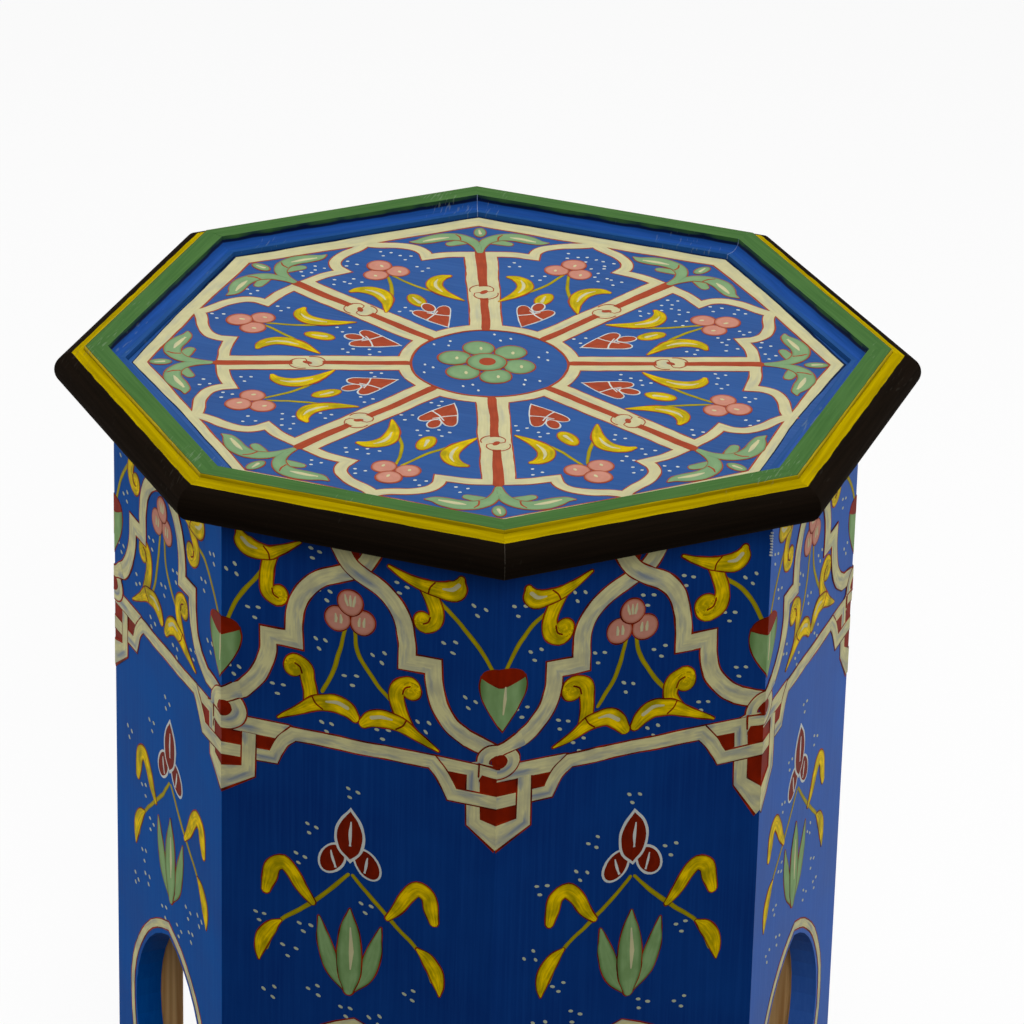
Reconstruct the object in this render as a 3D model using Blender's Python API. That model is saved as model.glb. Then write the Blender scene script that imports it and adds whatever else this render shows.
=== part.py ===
"""Octagonal painted wood side table: eight mitred side boards with horseshoe arches,
glue blocks and cleats inside, and a recessed octagonal top in a moulded, mitred rim.

Metres, +Z up. The origin is on the floor, under the middle of the top.
"""
import math

import bmesh
import bpy
from mathutils import Matrix, Vector

# Overall sizes
SIDES = 8
TABLE_HEIGHT = 0.520
TOP_ACROSS_FLATS = 0.400
TOP_OVERHANG = 0.027
JOINT_GAP = 0.0003

# Edge moulding: a half-round nosing with a sloped fillet behind it
MOULDING_WIDTH = 0.01365
NOSING_RADIUS = 0.0094
NOSING_DROP = 0.0036
FILLET_DROP = 0.0018

# Rim rail: a flat land, then a lip, a cove, a ledge and a drop down to the top board's field
LAND_WIDTH = 0.0109
LAND_ROUNDING = 0.0006
LIP_HEIGHT = 0.0010
COVE_RADIUS = 0.0052
LEDGE_WIDTH = 0.0027
LEDGE_HEIGHT = 0.0027

# Boards: the top board has a raised field, and a lower tongue round it that runs under the rim
TOP_BOARD_THICKNESS = 0.0138
TONGUE_WIDTH = 0.0110
TONGUE_DROP = 0.0020
SIDE_THICKNESS = 0.0140

# Arch cut in the foot of each side board: a pointed horseshoe standing on two imposts
ARCH_CENTRE_HEIGHT = 0.158
ARCH_HALF_WIDTH = 0.046
ARCH_POINT_SHIFT = 0.018
IMPOST_HALF_WIDTH = 0.038
LEG_HALF_WIDTH = 0.041
IMPOST_HEIGHT = 0.007

# Glue blocks in the corners, and cleats that carry the top
BLOCK_FACE = 0.0180
BLOCK_DEPTH = 0.0120
BLOCK_FOOT_CLEARANCE = 0.0100
CLEAT_LENGTH = 0.0800
CLEAT_WIDTH = 0.0200
CLEAT_HEIGHT = 0.0200

# Countersunk screws, and how far they stand from the middle of a cleat
SCREW_RADIUS = 0.0020
SCREW_HEAD_RADIUS = 0.0040
SCREW_HEAD_DEPTH = 0.0022
SCREW_POINT_LENGTH = 0.0030
SCREW_BITE = 0.0085
SCREW_OFFSET = 0.0200
SCREW_SIDES = 12

# Facets
ARC_STEP = math.radians(10)
CUT_MARGIN = 0.020

# Places that follow from the sizes above. An apothem is a distance from the axis to a flat.
HALF_SECTOR = math.pi / SIDES
TOP_APOTHEM = TOP_ACROSS_FLATS / 2
BODY_APOTHEM = TOP_APOTHEM - TOP_OVERHANG
BODY_INNER_APOTHEM = BODY_APOTHEM - SIDE_THICKNESS
MOULDING_BACK = TOP_APOTHEM - MOULDING_WIDTH
RIM_DEPTH = NOSING_DROP + 2 * NOSING_RADIUS
RAIL_OUTER = MOULDING_BACK - JOINT_GAP
LAND_INNER = RAIL_OUTER - LAND_WIDTH
COVE_FOOT = LAND_INNER - COVE_RADIUS
LEDGE_INNER = COVE_FOOT - LEDGE_WIDTH
FIELD_APOTHEM = LEDGE_INNER - JOINT_GAP
TONGUE_APOTHEM = FIELD_APOTHEM + TONGUE_WIDTH
REBATE_WALL = TONGUE_APOTHEM + JOINT_GAP
RECESS_DEPTH = LIP_HEIGHT + COVE_RADIUS + LEDGE_HEIGHT
REBATE_DEPTH = RECESS_DEPTH + TONGUE_DROP - JOINT_GAP
BOARD_BOTTOM = TABLE_HEIGHT - RECESS_DEPTH - TOP_BOARD_THICKNESS
BODY_TOP = BOARD_BOTTOM - JOINT_GAP
CLEAT_OUTER = BODY_INNER_APOTHEM - JOINT_GAP
CLEAT_BOTTOM = BODY_TOP - CLEAT_HEIGHT

# Painted and bare surfaces: colour as sRGB hex, roughness, metallic
FINISHES = {
    "blue_paint": ("16459C", 0.40, 0.0),
    "green_paint": ("3F7038", 0.45, 0.0),
    "black_paint": ("14100C", 0.35, 0.0),
    "bare_pine": ("C9A26B", 0.75, 0.0),
    "zinc_steel": ("A9ABAD", 0.35, 1.0),
}


def clear_scene():
    """Removes whatever the open file holds."""
    for obj in list(bpy.data.objects):
        bpy.data.objects.remove(obj, do_unlink=True)


def linear(hex_colour):
    """An sRGB hex colour as linear RGBA."""
    channels = [int(hex_colour[i:i + 2], 16) / 255 for i in (0, 2, 4)]
    toned = [c / 12.92 if c <= 0.04045 else ((c + 0.055) / 1.055) ** 2.4 for c in channels]
    return (*toned, 1.0)


def make_materials():
    """One Principled material for each finish."""
    made = {}
    for name, (colour, roughness, metallic) in FINISHES.items():
        material = bpy.data.materials.new(name)
        material.use_nodes = True
        shader = material.node_tree.nodes["Principled BSDF"]
        shader.inputs["Base Color"].default_value = linear(colour)
        shader.inputs["Roughness"].default_value = roughness
        shader.inputs["Metallic"].default_value = metallic
        made[name] = material
    return made


def arc(centre, radius, start, end):
    """Points on an arc, ends included, at about one facet for each ARC_STEP."""
    steps = max(2, math.ceil(abs(end - start) / ARC_STEP))
    turns = [start + (end - start) * i / steps for i in range(steps + 1)]
    return [(centre[0] + radius * math.cos(t), centre[1] + radius * math.sin(t)) for t in turns]


def extruded(outline, direction):
    """A closed solid: the outline's face, extruded along a direction."""
    bm = bmesh.new()
    face = bm.faces.new([bm.verts.new(point) for point in outline])
    grown = bmesh.ops.extrude_face_region(bm, geom=[face])
    moved = [item for item in grown["geom"] if isinstance(item, bmesh.types.BMVert)]
    bmesh.ops.translate(bm, verts=moved, vec=direction)
    bmesh.ops.recalc_face_normals(bm, faces=bm.faces[:])
    return bm


def saw(bm, point, normal):
    """Cuts off what lies on the normal's side of a plane and closes the sawn end."""
    geometry = bm.verts[:] + bm.edges[:] + bm.faces[:]
    cut = bmesh.ops.bisect_plane(
        bm, geom=geometry, dist=1e-7, plane_co=point, plane_no=normal, clear_outer=True)
    rim = [item for item in cut["geom_cut"] if isinstance(item, bmesh.types.BMEdge)]
    bmesh.ops.holes_fill(bm, edges=rim, sides=0)
    bmesh.ops.recalc_face_normals(bm, faces=bm.faces[:])


def saw_mitres(bm):
    """Mitres both ends of a piece that lies along Y, facing +X, to meet its neighbours."""
    for side in (1, -1):
        normal = Vector((-math.sin(HALF_SECTOR), side * math.cos(HALF_SECTOR), 0))
        saw(bm, -normal * JOINT_GAP / 2, normal)


def add_object(name, bm, material, index=0, smooth_angle=math.radians(35)):
    """Turns a solid to its sector of the table and stores it as a named object."""
    mesh = bpy.data.meshes.new(name)
    bm.to_mesh(mesh)
    bm.free()
    mesh.materials.append(material)
    mesh.shade_smooth()
    mesh.set_sharp_from_angle(angle=smooth_angle)
    obj = bpy.data.objects.new(name, mesh)
    obj.rotation_euler = (0, 0, 2 * HALF_SECTOR * index)
    bpy.context.scene.collection.objects.link(obj)
    return obj


def swept_rail(profile):
    """A mitred rail whose section is a list of (distance from axis, depth below the rim land)."""
    length = 2 * (TOP_APOTHEM * math.tan(HALF_SECTOR) + CUT_MARGIN)
    outline = [(a, -length / 2, TABLE_HEIGHT + depth) for a, depth in profile]
    bm = extruded(outline, (0, length, 0))
    saw_mitres(bm)
    return bm


def edge_moulding():
    """Half-round nosing with the sloped fillet that leads up to the rim land."""
    centre = (TOP_APOTHEM - NOSING_RADIUS, -NOSING_DROP - NOSING_RADIUS)
    profile = [(MOULDING_BACK, -FILLET_DROP)]
    profile += arc(centre, NOSING_RADIUS, math.pi / 2, -math.pi / 2)
    profile += [(MOULDING_BACK, -RIM_DEPTH)]
    return swept_rail(profile)


def rim_rail():
    """Flat land with a coved inner edge and a rebate below for the top board."""
    rounding = (RAIL_OUTER - LAND_ROUNDING, -LAND_ROUNDING)
    profile = arc(rounding, LAND_ROUNDING, 0, math.pi / 2)
    profile += [(LAND_INNER, 0)]
    profile += arc((COVE_FOOT, -LIP_HEIGHT), COVE_RADIUS, 0, -math.pi / 2)
    profile += [
        (LEDGE_INNER, -LIP_HEIGHT - COVE_RADIUS),
        (LEDGE_INNER, -REBATE_DEPTH),
        (REBATE_WALL, -REBATE_DEPTH),
        (REBATE_WALL, -RIM_DEPTH),
        (RAIL_OUTER, -RIM_DEPTH),
    ]
    return swept_rail(profile)


def top_board():
    """Octagonal board whose tongue lies in the rebate of the rim, with a raised field inside it."""
    radius = TONGUE_APOTHEM / math.cos(HALF_SECTOR)
    corners = [HALF_SECTOR * (2 * i + 1) for i in range(SIDES)]
    outline = [(radius * math.cos(c), radius * math.sin(c), BOARD_BOTTOM) for c in corners]
    bm = extruded(outline, (0, 0, TOP_BOARD_THICKNESS - TONGUE_DROP))
    upper = max(bm.faces, key=lambda face: face.calc_center_median().z)
    bmesh.ops.inset_region(bm, faces=[upper], thickness=TONGUE_WIDTH, use_even_offset=True)
    field = bmesh.ops.extrude_discrete_faces(bm, faces=[upper])["faces"][0]
    bmesh.ops.translate(bm, verts=field.verts[:], vec=(0, 0, TONGUE_DROP))
    bmesh.ops.recalc_face_normals(bm, faces=bm.faces[:])
    return bm


def arch_outline():
    """One arch from foot to foot as (sideways, height), a pointed horseshoe on imposts."""
    radius = ARCH_HALF_WIDTH + ARCH_POINT_SHIFT
    centre = (-ARCH_POINT_SHIFT, ARCH_CENTRE_HEIGHT)
    spring = -math.acos((IMPOST_HALF_WIDTH + ARCH_POINT_SHIFT) / radius)
    point = math.acos(ARCH_POINT_SHIFT / radius)
    half = arc(centre, radius, spring, point)
    spring_height = half[0][1]
    impost = [
        (LEG_HALF_WIDTH, 0),
        (LEG_HALF_WIDTH, spring_height - 2 * IMPOST_HEIGHT),
        (IMPOST_HALF_WIDTH, spring_height - IMPOST_HEIGHT),
    ]
    right = impost + half
    left = [(-x, z) for x, z in reversed(right[:-1])]
    return right + left


def side_panel():
    """Side board, mitred along both upright edges, with the arch cut in its foot."""
    reach = BODY_APOTHEM * math.tan(HALF_SECTOR) + CUT_MARGIN
    board = [(reach, 0), (reach, BODY_TOP), (-reach, BODY_TOP), (-reach, 0)]
    outline = board + list(reversed(arch_outline()))
    bm = extruded([(BODY_INNER_APOTHEM, y, z) for y, z in outline], (SIDE_THICKNESS, 0, 0))
    saw_mitres(bm)
    return bm


def corner_block():
    """Five-sided glue block that fits the inside corner between two side boards."""
    corner = Vector(((BODY_INNER_APOTHEM - JOINT_GAP) / math.cos(HALF_SECTOR), 0))
    outline = [corner]
    for side in (1, -1):
        along = Vector((-math.sin(HALF_SECTOR), side * math.cos(HALF_SECTOR)))
        inward = Vector((-math.cos(HALF_SECTOR), -side * math.sin(HALF_SECTOR)))
        edge = corner + along * BLOCK_FACE
        wing = [edge, edge + inward * BLOCK_DEPTH]
        outline = outline + wing if side > 0 else outline + wing[::-1]
    bm = extruded([(p.x, p.y, BLOCK_FOOT_CLEARANCE) for p in outline],
                  (0, 0, BODY_TOP - BLOCK_FOOT_CLEARANCE))
    bmesh.ops.rotate(bm, verts=bm.verts[:], matrix=Matrix.Rotation(HALF_SECTOR, 3, "Z"))
    return bm


def top_cleat():
    """Batten inside the head of a side board, under the top board."""
    half = CLEAT_LENGTH / 2
    back = CLEAT_OUTER - CLEAT_WIDTH
    outline = [(back, -half), (CLEAT_OUTER, -half), (CLEAT_OUTER, half), (back, half)]
    return extruded([(x, y, CLEAT_BOTTOM) for x, y in outline], (0, 0, CLEAT_HEIGHT))


def screw(length, clearance=0.0):
    """Countersunk screw along +X, its head flush at the origin. Clearance makes its hole."""
    head = SCREW_HEAD_RADIUS + clearance
    shank = SCREW_RADIUS + clearance
    tip = length + clearance
    shoulder = SCREW_HEAD_DEPTH + clearance
    profile = [
        (-clearance, 0), (-clearance, head), (clearance, head), (shoulder, shank),
        (tip - SCREW_POINT_LENGTH, shank), (tip, 0),
    ]
    bm = bmesh.new()
    line = [bm.verts.new((x, r, 0)) for x, r in profile]
    edges = [bm.edges.new(pair) for pair in zip(line, line[1:])]
    bmesh.ops.spin(bm, geom=line + edges, cent=(0, 0, 0), axis=(1, 0, 0),
                   angle=2 * math.pi, steps=SCREW_SIDES, use_merge=True)
    bmesh.ops.remove_doubles(bm, verts=bm.verts[:], dist=1e-6)
    bmesh.ops.recalc_face_normals(bm, faces=bm.faces[:])
    return bm


def placed_screw(length, place, clearance=0.0):
    """A screw turned and moved by a matrix."""
    bm = screw(length, clearance)
    bmesh.ops.transform(bm, matrix=place, verts=bm.verts[:])
    return bm


def drill(obj, cutter):
    """Cuts a screw's hole in a piece."""
    hole = obj.modifiers.new(cutter.name, "BOOLEAN")
    hole.operation = "DIFFERENCE"
    hole.solver = "EXACT"
    hole.object = cutter


def fasten(name, length, place, index, material, pieces):
    """Adds one screw and drills its hole through the pieces that it holds together."""
    add_object(name, placed_screw(length, place), material, index)
    cutter = add_object(name + "_hole", placed_screw(length, place, JOINT_GAP), material, index)
    cutter.hide_render = True
    cutter.display_type = "WIRE"
    for piece in pieces:
        drill(piece, cutter)


def build_top(materials):
    """Top board with its rails and edge mouldings, one of each to a side."""
    board = add_object("top_board", top_board(), materials["blue_paint"])
    for i in range(SIDES):
        add_object(f"rim_rail_{i + 1}", rim_rail(), materials["green_paint"], i)
        add_object(f"edge_moulding_{i + 1}", edge_moulding(), materials["black_paint"], i)
    return board


def build_sector(i, board, materials):
    """One side of the body: its board, glue block, cleat and the two screws of the cleat."""
    number = i + 1
    panel = add_object(f"side_panel_{number}", side_panel(), materials["blue_paint"], i)
    add_object(f"corner_block_{number}", corner_block(), materials["bare_pine"], i)
    cleat = add_object(f"top_cleat_{number}", top_cleat(), materials["bare_pine"], i)

    middle = CLEAT_OUTER - CLEAT_WIDTH / 2
    upright = Matrix.Translation((middle, SCREW_OFFSET, CLEAT_BOTTOM))
    upright = upright @ Matrix.Rotation(-math.pi / 2, 4, "Y")
    up_length = CLEAT_HEIGHT + 2 * JOINT_GAP + SCREW_BITE
    fasten(f"top_screw_{number}", up_length, upright, i, materials["zinc_steel"], [cleat, board])

    level = Matrix.Translation(
        (CLEAT_OUTER - CLEAT_WIDTH, -SCREW_OFFSET, BODY_TOP - CLEAT_HEIGHT / 2))
    out_length = CLEAT_WIDTH + JOINT_GAP + SCREW_BITE
    fasten(f"cleat_screw_{number}", out_length, level, i, materials["zinc_steel"], [cleat, panel])


def main():
    """Builds the whole table."""
    clear_scene()
    materials = make_materials()
    board = build_top(materials)
    for i in range(SIDES):
        build_sector(i, board, materials)


main()
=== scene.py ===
"""Dresses the octagonal painted side table: brushed grounds on its boards and mouldings, and
the hand-painted ornament of its top and sides laid on them as thin layers of paint."""
import logging
import math
from collections.abc import Iterable, Sequence
from dataclasses import dataclass, field
from enum import Enum

import bmesh
import bpy
import numpy as np
from mathutils import Matrix, Vector, noise
from mathutils.geometry import delaunay_2d_cdt


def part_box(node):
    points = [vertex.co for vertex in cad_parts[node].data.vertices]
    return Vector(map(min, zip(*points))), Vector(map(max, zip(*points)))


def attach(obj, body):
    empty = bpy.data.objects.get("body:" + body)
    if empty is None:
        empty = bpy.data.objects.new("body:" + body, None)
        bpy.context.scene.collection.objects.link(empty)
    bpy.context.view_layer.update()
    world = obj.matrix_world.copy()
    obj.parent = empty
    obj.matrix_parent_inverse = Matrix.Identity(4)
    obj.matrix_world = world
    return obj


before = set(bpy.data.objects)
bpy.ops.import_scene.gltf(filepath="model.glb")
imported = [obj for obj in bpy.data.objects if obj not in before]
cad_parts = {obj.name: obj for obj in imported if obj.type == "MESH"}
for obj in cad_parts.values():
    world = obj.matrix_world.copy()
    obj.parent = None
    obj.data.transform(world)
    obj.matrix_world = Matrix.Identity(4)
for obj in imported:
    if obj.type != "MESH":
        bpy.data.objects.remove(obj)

MM = 0.001
SECTORS = 8
SECTOR = math.tau / SECTORS
STROKE_MAP = "stroke"
HAND = Matrix.Identity(4)
MIRROR = Matrix.Scale(-1, 4, (1, 0, 0))

# In millimetres: the thickness of a coat of paint; how far the hand sways and shakes, and over what
# length; and how near a corner of the body it is steadied, so that two boards' drawings meet.
COAT = 0.05
SWAY = 0.8
SWAY_LENGTH = 21
SHAKE = 0.3
SHAKE_LENGTH = 6
STEADY_LENGTH = 10
# Fixes the chance in the hand's waver, so that the painting comes out the same each time.
HAND_SEED = 7
# The smallest patch of paint that is laid, in square millimetres, and how near two points of
# paint may lie before they become one, in millimetres.
SPECK = 1e-5
MERGE = 1e-3
# A turn that counts as sharp in a stroke, the half width from which a stroke's ends are rounded
# off, and how far out the points of such an end lie, as shares of that half width.
SHARP_TURN = math.radians(35)
BLUNT = 0.4
CAP_SHARES = (0.45, 0.8, 0.985)
# How squarely a face has to look along a mitre to be the end face of its piece.
END_FACE = 0.999

Point = tuple[float, float]
Knot = tuple[float, float, float]
Link = bpy.types.NodeSocket

log = logging.getLogger("painted_table")


def linear(colour: str) -> tuple[float, float, float, float]:
    """Turns an sRGB hex colour into linear RGBA.

    Args:
        colour: six hex digits.

    Returns:
        The four channels that a shader socket takes.
    """
    channels = [int(colour[i:i + 2], 16) / 255 for i in (0, 2, 4)]
    toned = [c / 12.92 if c <= 0.04045 else ((c + 0.055) / 1.055) ** 2.4 for c in channels]
    return (*toned, 1.0)


def feed(tree: bpy.types.NodeTree, node: bpy.types.Node, links: dict) -> None:
    """Fills or links a node's inputs.

    Args:
        tree: the node tree that holds the node.
        node: the node.
        links: input name or index to a value, or to the output socket that feeds it.
    """
    for key, value in links.items():
        if isinstance(value, Link):
            tree.links.new(value, node.inputs[key])
        else:
            node.inputs[key].default_value = value


def add_node(tree: bpy.types.NodeTree, kind: str, links: dict | None = None,
             **settings: object) -> bpy.types.Node:
    """Adds one node, sets its properties and fills or links its inputs.

    Args:
        tree: the node tree that takes the node.
        kind: the node's type, without its ShaderNode prefix.
        links: input name or index to a value, or to the output socket that feeds it.
        **settings: properties of the node itself.

    Returns:
        The new node.
    """
    node = tree.nodes.new("ShaderNode" + kind)
    for name, value in settings.items():
        setattr(node, name, value)
    feed(tree, node, links or {})
    return node


def reckon(tree: bpy.types.NodeTree, operation: str, first: Link | float,
           second: Link | float = 0.0) -> Link:
    """Works out one value from one or two others.

    Args:
        tree: the node tree that takes the node.
        operation: what is done with the values.
        first: a value, or the socket that gives it.
        second: the other value, in the same way, where the operation takes two.

    Returns:
        The result.
    """
    return add_node(tree, "Math", {0: first, 1: second}, operation=operation).outputs[0]


def ranged(tree: bpy.types.NodeTree, value: Link, low: float, high: float,
           start: float = 0.0, end: float = 1.0, **settings: object) -> Link:
    """Spreads the values between two limits over another range.

    Args:
        tree: the node tree that takes the node.
        value: the socket that gives the value.
        low: the limit that turns into start.
        high: the limit that turns into end.
        start: the result at the first limit and before it.
        end: the result at the second limit and beyond it.
        **settings: properties of the node itself.

    Returns:
        The result.
    """
    limits = {"Value": value, "From Min": low, "From Max": high, "To Min": start, "To Max": end}
    return add_node(tree, "MapRange", limits, **settings).outputs[0]


def blend(tree: bpy.types.NodeTree, share: Link, first: Link | tuple, second: Link | tuple) -> Link:
    """Mixes two colours.

    Args:
        tree: the node tree that takes the node.
        share: how much of the second colour shows, from 0 to 1.
        first: a linear colour, or the socket that gives it.
        second: the other colour, in the same way.

    Returns:
        The mixed colour.
    """
    pair = {"Factor": share, "A": first, "B": second}
    return add_node(tree, "Mix", pair, data_type="RGBA").outputs["Result"]


def speckle(tree: bpy.types.NodeTree, place: Link, size: float, detail: float) -> Link:
    """Makes an even mottle.

    Args:
        tree: the node tree that takes the node.
        place: where a point lies, in metres.
        size: how far across the patches are, in millimetres.
        detail: how many finer mottles lie in it.

    Returns:
        The mottle, from 0 to 1.
    """
    mottle = {"Vector": place, "Scale": 1 / (size * MM), "Detail": detail}
    return add_node(tree, "TexNoise", mottle).outputs["Fac"]


def streaks(tree: bpy.types.NodeTree, place: Link, scale: Sequence[float], detail: float,
            turn: float = 0.0, shift: Sequence[float] = (0, 0, 0), **more: float) -> Link:
    """Makes a mottle that is drawn out into streaks.

    Args:
        tree: the node tree that takes the nodes.
        place: where a point lies.
        scale: how many streaks come to one unit of that, along each axis.
        detail: how many finer streaks lie in them.
        turn: how far they are turned about the upright axis, in degrees.
        shift: moves them, so that they don't fall on other streaks.
        **more: further inputs of the noise.

    Returns:
        The streaks, from 0 to 1.
    """
    stretch = {"Vector": place, "Scale": scale, "Rotation": (0, 0, math.radians(turn)), "Location": shift}
    drawn = add_node(tree, "Mapping", stretch).outputs[0]
    return add_node(tree, "TexNoise", {"Vector": drawn, "Scale": 1.0, "Detail": detail,
                                       **more}).outputs["Fac"]


def per_metre(*sizes: float) -> tuple[float, ...]:
    """Turns the sizes of a pattern, in millimetres, into how often it comes in a metre."""
    return tuple(1 / (size * MM) for size in sizes)


def start_material(name: str) -> tuple[bpy.types.Material, bpy.types.NodeTree, bpy.types.Node]:
    """Starts a material of nodes.

    Args:
        name: the material's name.

    Returns:
        The material, its node tree and its shader.
    """
    made = bpy.data.materials.new(name)
    made.use_nodes = True
    return made, made.node_tree, made.node_tree.nodes["Principled BSDF"]


def add_object(name: str, bm: bmesh.types.BMesh) -> bpy.types.Object:
    """Makes an object of a mesh that is ready, and frees what the mesh was made in.

    Args:
        name: the name of the object and its mesh.
        bm: what the mesh was made in.

    Returns:
        The object, in the scene.
    """
    mesh = bpy.data.meshes.new(name)
    bm.to_mesh(mesh)
    bm.free()
    made = bpy.data.objects.new(name, mesh)
    bpy.context.scene.collection.objects.link(made)
    return made


class Paint(Enum):
    """The pots of paint that the ornament is drawn from."""

    CREAM = "cream"
    MILK = "thin_cream"
    BRICK = "brick_red"
    RUST = "rust_red"
    LINE = "outline_red"
    ROSE = "rose"
    SAGE = "sage_green"
    FERN = "fern_green"
    LEMON = "lemon_yellow"
    CANARY = "canary_yellow"
    OLIVE = "olive_yellow"
    CHALK = "chalk_white"
    BONE = "bone_white"
    MAROON = "maroon"
    # A dark blue for the painted shadow line outside the top's border, not a paint of the table.
    NAVY = "navy_blue"


@dataclass(frozen=True)
class Pigment:
    """Oil paint laid with a small round brush and varnished over.

    The brush leaves hair lines along each stroke, the paint is thinner and darker towards the
    stroke's edge, and a little of the wet colour beneath is dragged into it.
    """

    paint: Paint
    body: str
    thin: str
    hair: float = 0.35
    smear: str = ""
    smear_share: float = 0.0
    rim: str = ""
    rim_from: float = 0.45
    roughness: float = 0.45
    sheen: float = 0.02

    def material(self) -> bpy.types.Material:
        """Builds the paint's material.

        Returns:
            A material whose hair lines follow the strokes' own map.
        """
        made, tree, shader = start_material("brushed_oil_paint_" + self.paint.value)
        strokes = add_node(tree, "UVMap", uv_map=STROKE_MAP).outputs["UV"]
        place = add_node(tree, "TexCoord").outputs["Object"]
        # Hair lines run about 14 mm along a stroke and lie a fifth of its width apart. Real ones
        # are finer, and these are drawn as coarse as they need to show.
        hairs = streaks(tree, strokes, (1 / 14, 2.6, 1), 3.0)
        # Thick and thin patches of paint are about 9 mm across.
        patches = speckle(tree, place, 9, 2.0)
        share = ranged(tree, reckon(tree, "MULTIPLY", hairs, patches), 0.14, 0.36, self.hair, 0.0)
        colour = blend(tree, share, linear(self.body), linear(self.thin))
        if self.smear:
            # Smears of the colour beneath run about 20 mm along and half the stroke's width across.
            dragged = streaks(tree, strokes, (1 / 20, 0.9, 1), 4.0, shift=(7, 3, 0))
            amount = ranged(tree, dragged, 0.5, 0.72, 0.0, self.smear_share)
            colour = blend(tree, amount, colour, linear(self.smear))
        if self.rim:
            across = add_node(tree, "SeparateXYZ", {0: strokes}).outputs["Y"]
            edge = reckon(tree, "ABSOLUTE", across)
            darker = ranged(tree, edge, self.rim_from, 1.0, interpolation_type="SMOOTHSTEP")
            colour = blend(tree, darker, colour, linear(self.rim))
        relief = add_node(tree, "Bump", {"Height": hairs, "Strength": 0.25, "Distance": 0.15 * MM})
        gloss = ranged(tree, patches, 0.0, 1.0, self.roughness - 0.06, self.roughness + 0.08)
        feed(tree, shader, {"Base Color": colour, "Roughness": gloss, "Normal": relief.outputs[0],
                            "Specular IOR Level": self.sheen})
        return made


PIGMENTS = (
    Pigment(Paint.CREAM, "D4CE9E", "BFB98E", hair=0.5, smear="8C97A0", smear_share=0.3),
    Pigment(Paint.MILK, "DED89E", "B4B08E", hair=0.7, smear="6C7E9C", smear_share=0.75),
    Pigment(Paint.BRICK, "AC4A2C", "8E361E", hair=0.6),
    Pigment(Paint.RUST, "8C2004", "6A1604", hair=0.7),
    Pigment(Paint.LINE, "A02C08", "4A1006", hair=1.0),
    Pigment(Paint.ROSE, "CE907C", "BE7A66", hair=0.5, rim="B26C54", rim_from=0.8),
    Pigment(Paint.SAGE, "86A878", "74966A", hair=0.6, rim="6A8C62", rim_from=0.7),
    Pigment(Paint.FERN, "8CAE74", "74965C", hair=0.7, rim="60824A", rim_from=0.6),
    Pigment(Paint.LEMON, "E4C204", "908804", hair=0.8, rim="B49A04", rim_from=0.75),
    Pigment(Paint.CANARY, "FFD800", "8C8204", hair=0.85, rim="A88C02", rim_from=0.75),
    Pigment(Paint.OLIVE, "B4A20C", "867C0A", hair=0.6, rim="7C720A"),
    Pigment(Paint.CHALK, "D8DCD4", "B8C0C4", hair=0.4),
    Pigment(Paint.BONE, "C0C6A8", "A2AA92", hair=0.4),
    Pigment(Paint.MAROON, "7C1E06", "5A1404", hair=0.6),
    # This dark blue draws the painted shadow line outside the top's border.
    Pigment(Paint.NAVY, "0A1834", "142C58", hair=0.7),
)


def octagon_place(tree: bpy.types.NodeTree) -> tuple[Link, Link, Link, Link]:
    """Works out where a point lies in its own eighth of the table.

    Args:
        tree: the node tree that takes the nodes.

    Returns:
        The distance from the axis to the point's flat, the distance sideways along that flat,
        the height, all in metres, and the plain position.
    """
    place = add_node(tree, "TexCoord").outputs["Object"]
    axes = add_node(tree, "SeparateXYZ", {0: place}).outputs
    turn = reckon(tree, "ARCTAN2", axes["Y"], axes["X"])
    shifted = reckon(tree, "ADD", turn, math.tau + SECTOR / 2)
    angle = reckon(tree, "SUBTRACT", reckon(tree, "MODULO", shifted, SECTOR), SECTOR / 2)
    flat = add_node(tree, "CombineXYZ", {"X": axes["X"], "Y": axes["Y"]})
    reach = add_node(tree, "VectorMath", {0: flat.outputs[0]}, operation="LENGTH").outputs["Value"]
    out = reckon(tree, "MULTIPLY", reach, reckon(tree, "COSINE", angle))
    side = reckon(tree, "MULTIPLY", reach, reckon(tree, "SINE", angle))
    return out, side, axes["Z"], place


class Brushing(Enum):
    """How a ground's brush marks run: across the board, or up and down it.

    The values are the marks' sizes along the three axes, in millimetres. Real bristles stand
    closer than 1.6 mm, and their lines are drawn as coarse as they need to show.
    """

    LEVEL = (70, 1.6, 1.6)
    UPRIGHT = (1.6, 1.6, 70)


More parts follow.
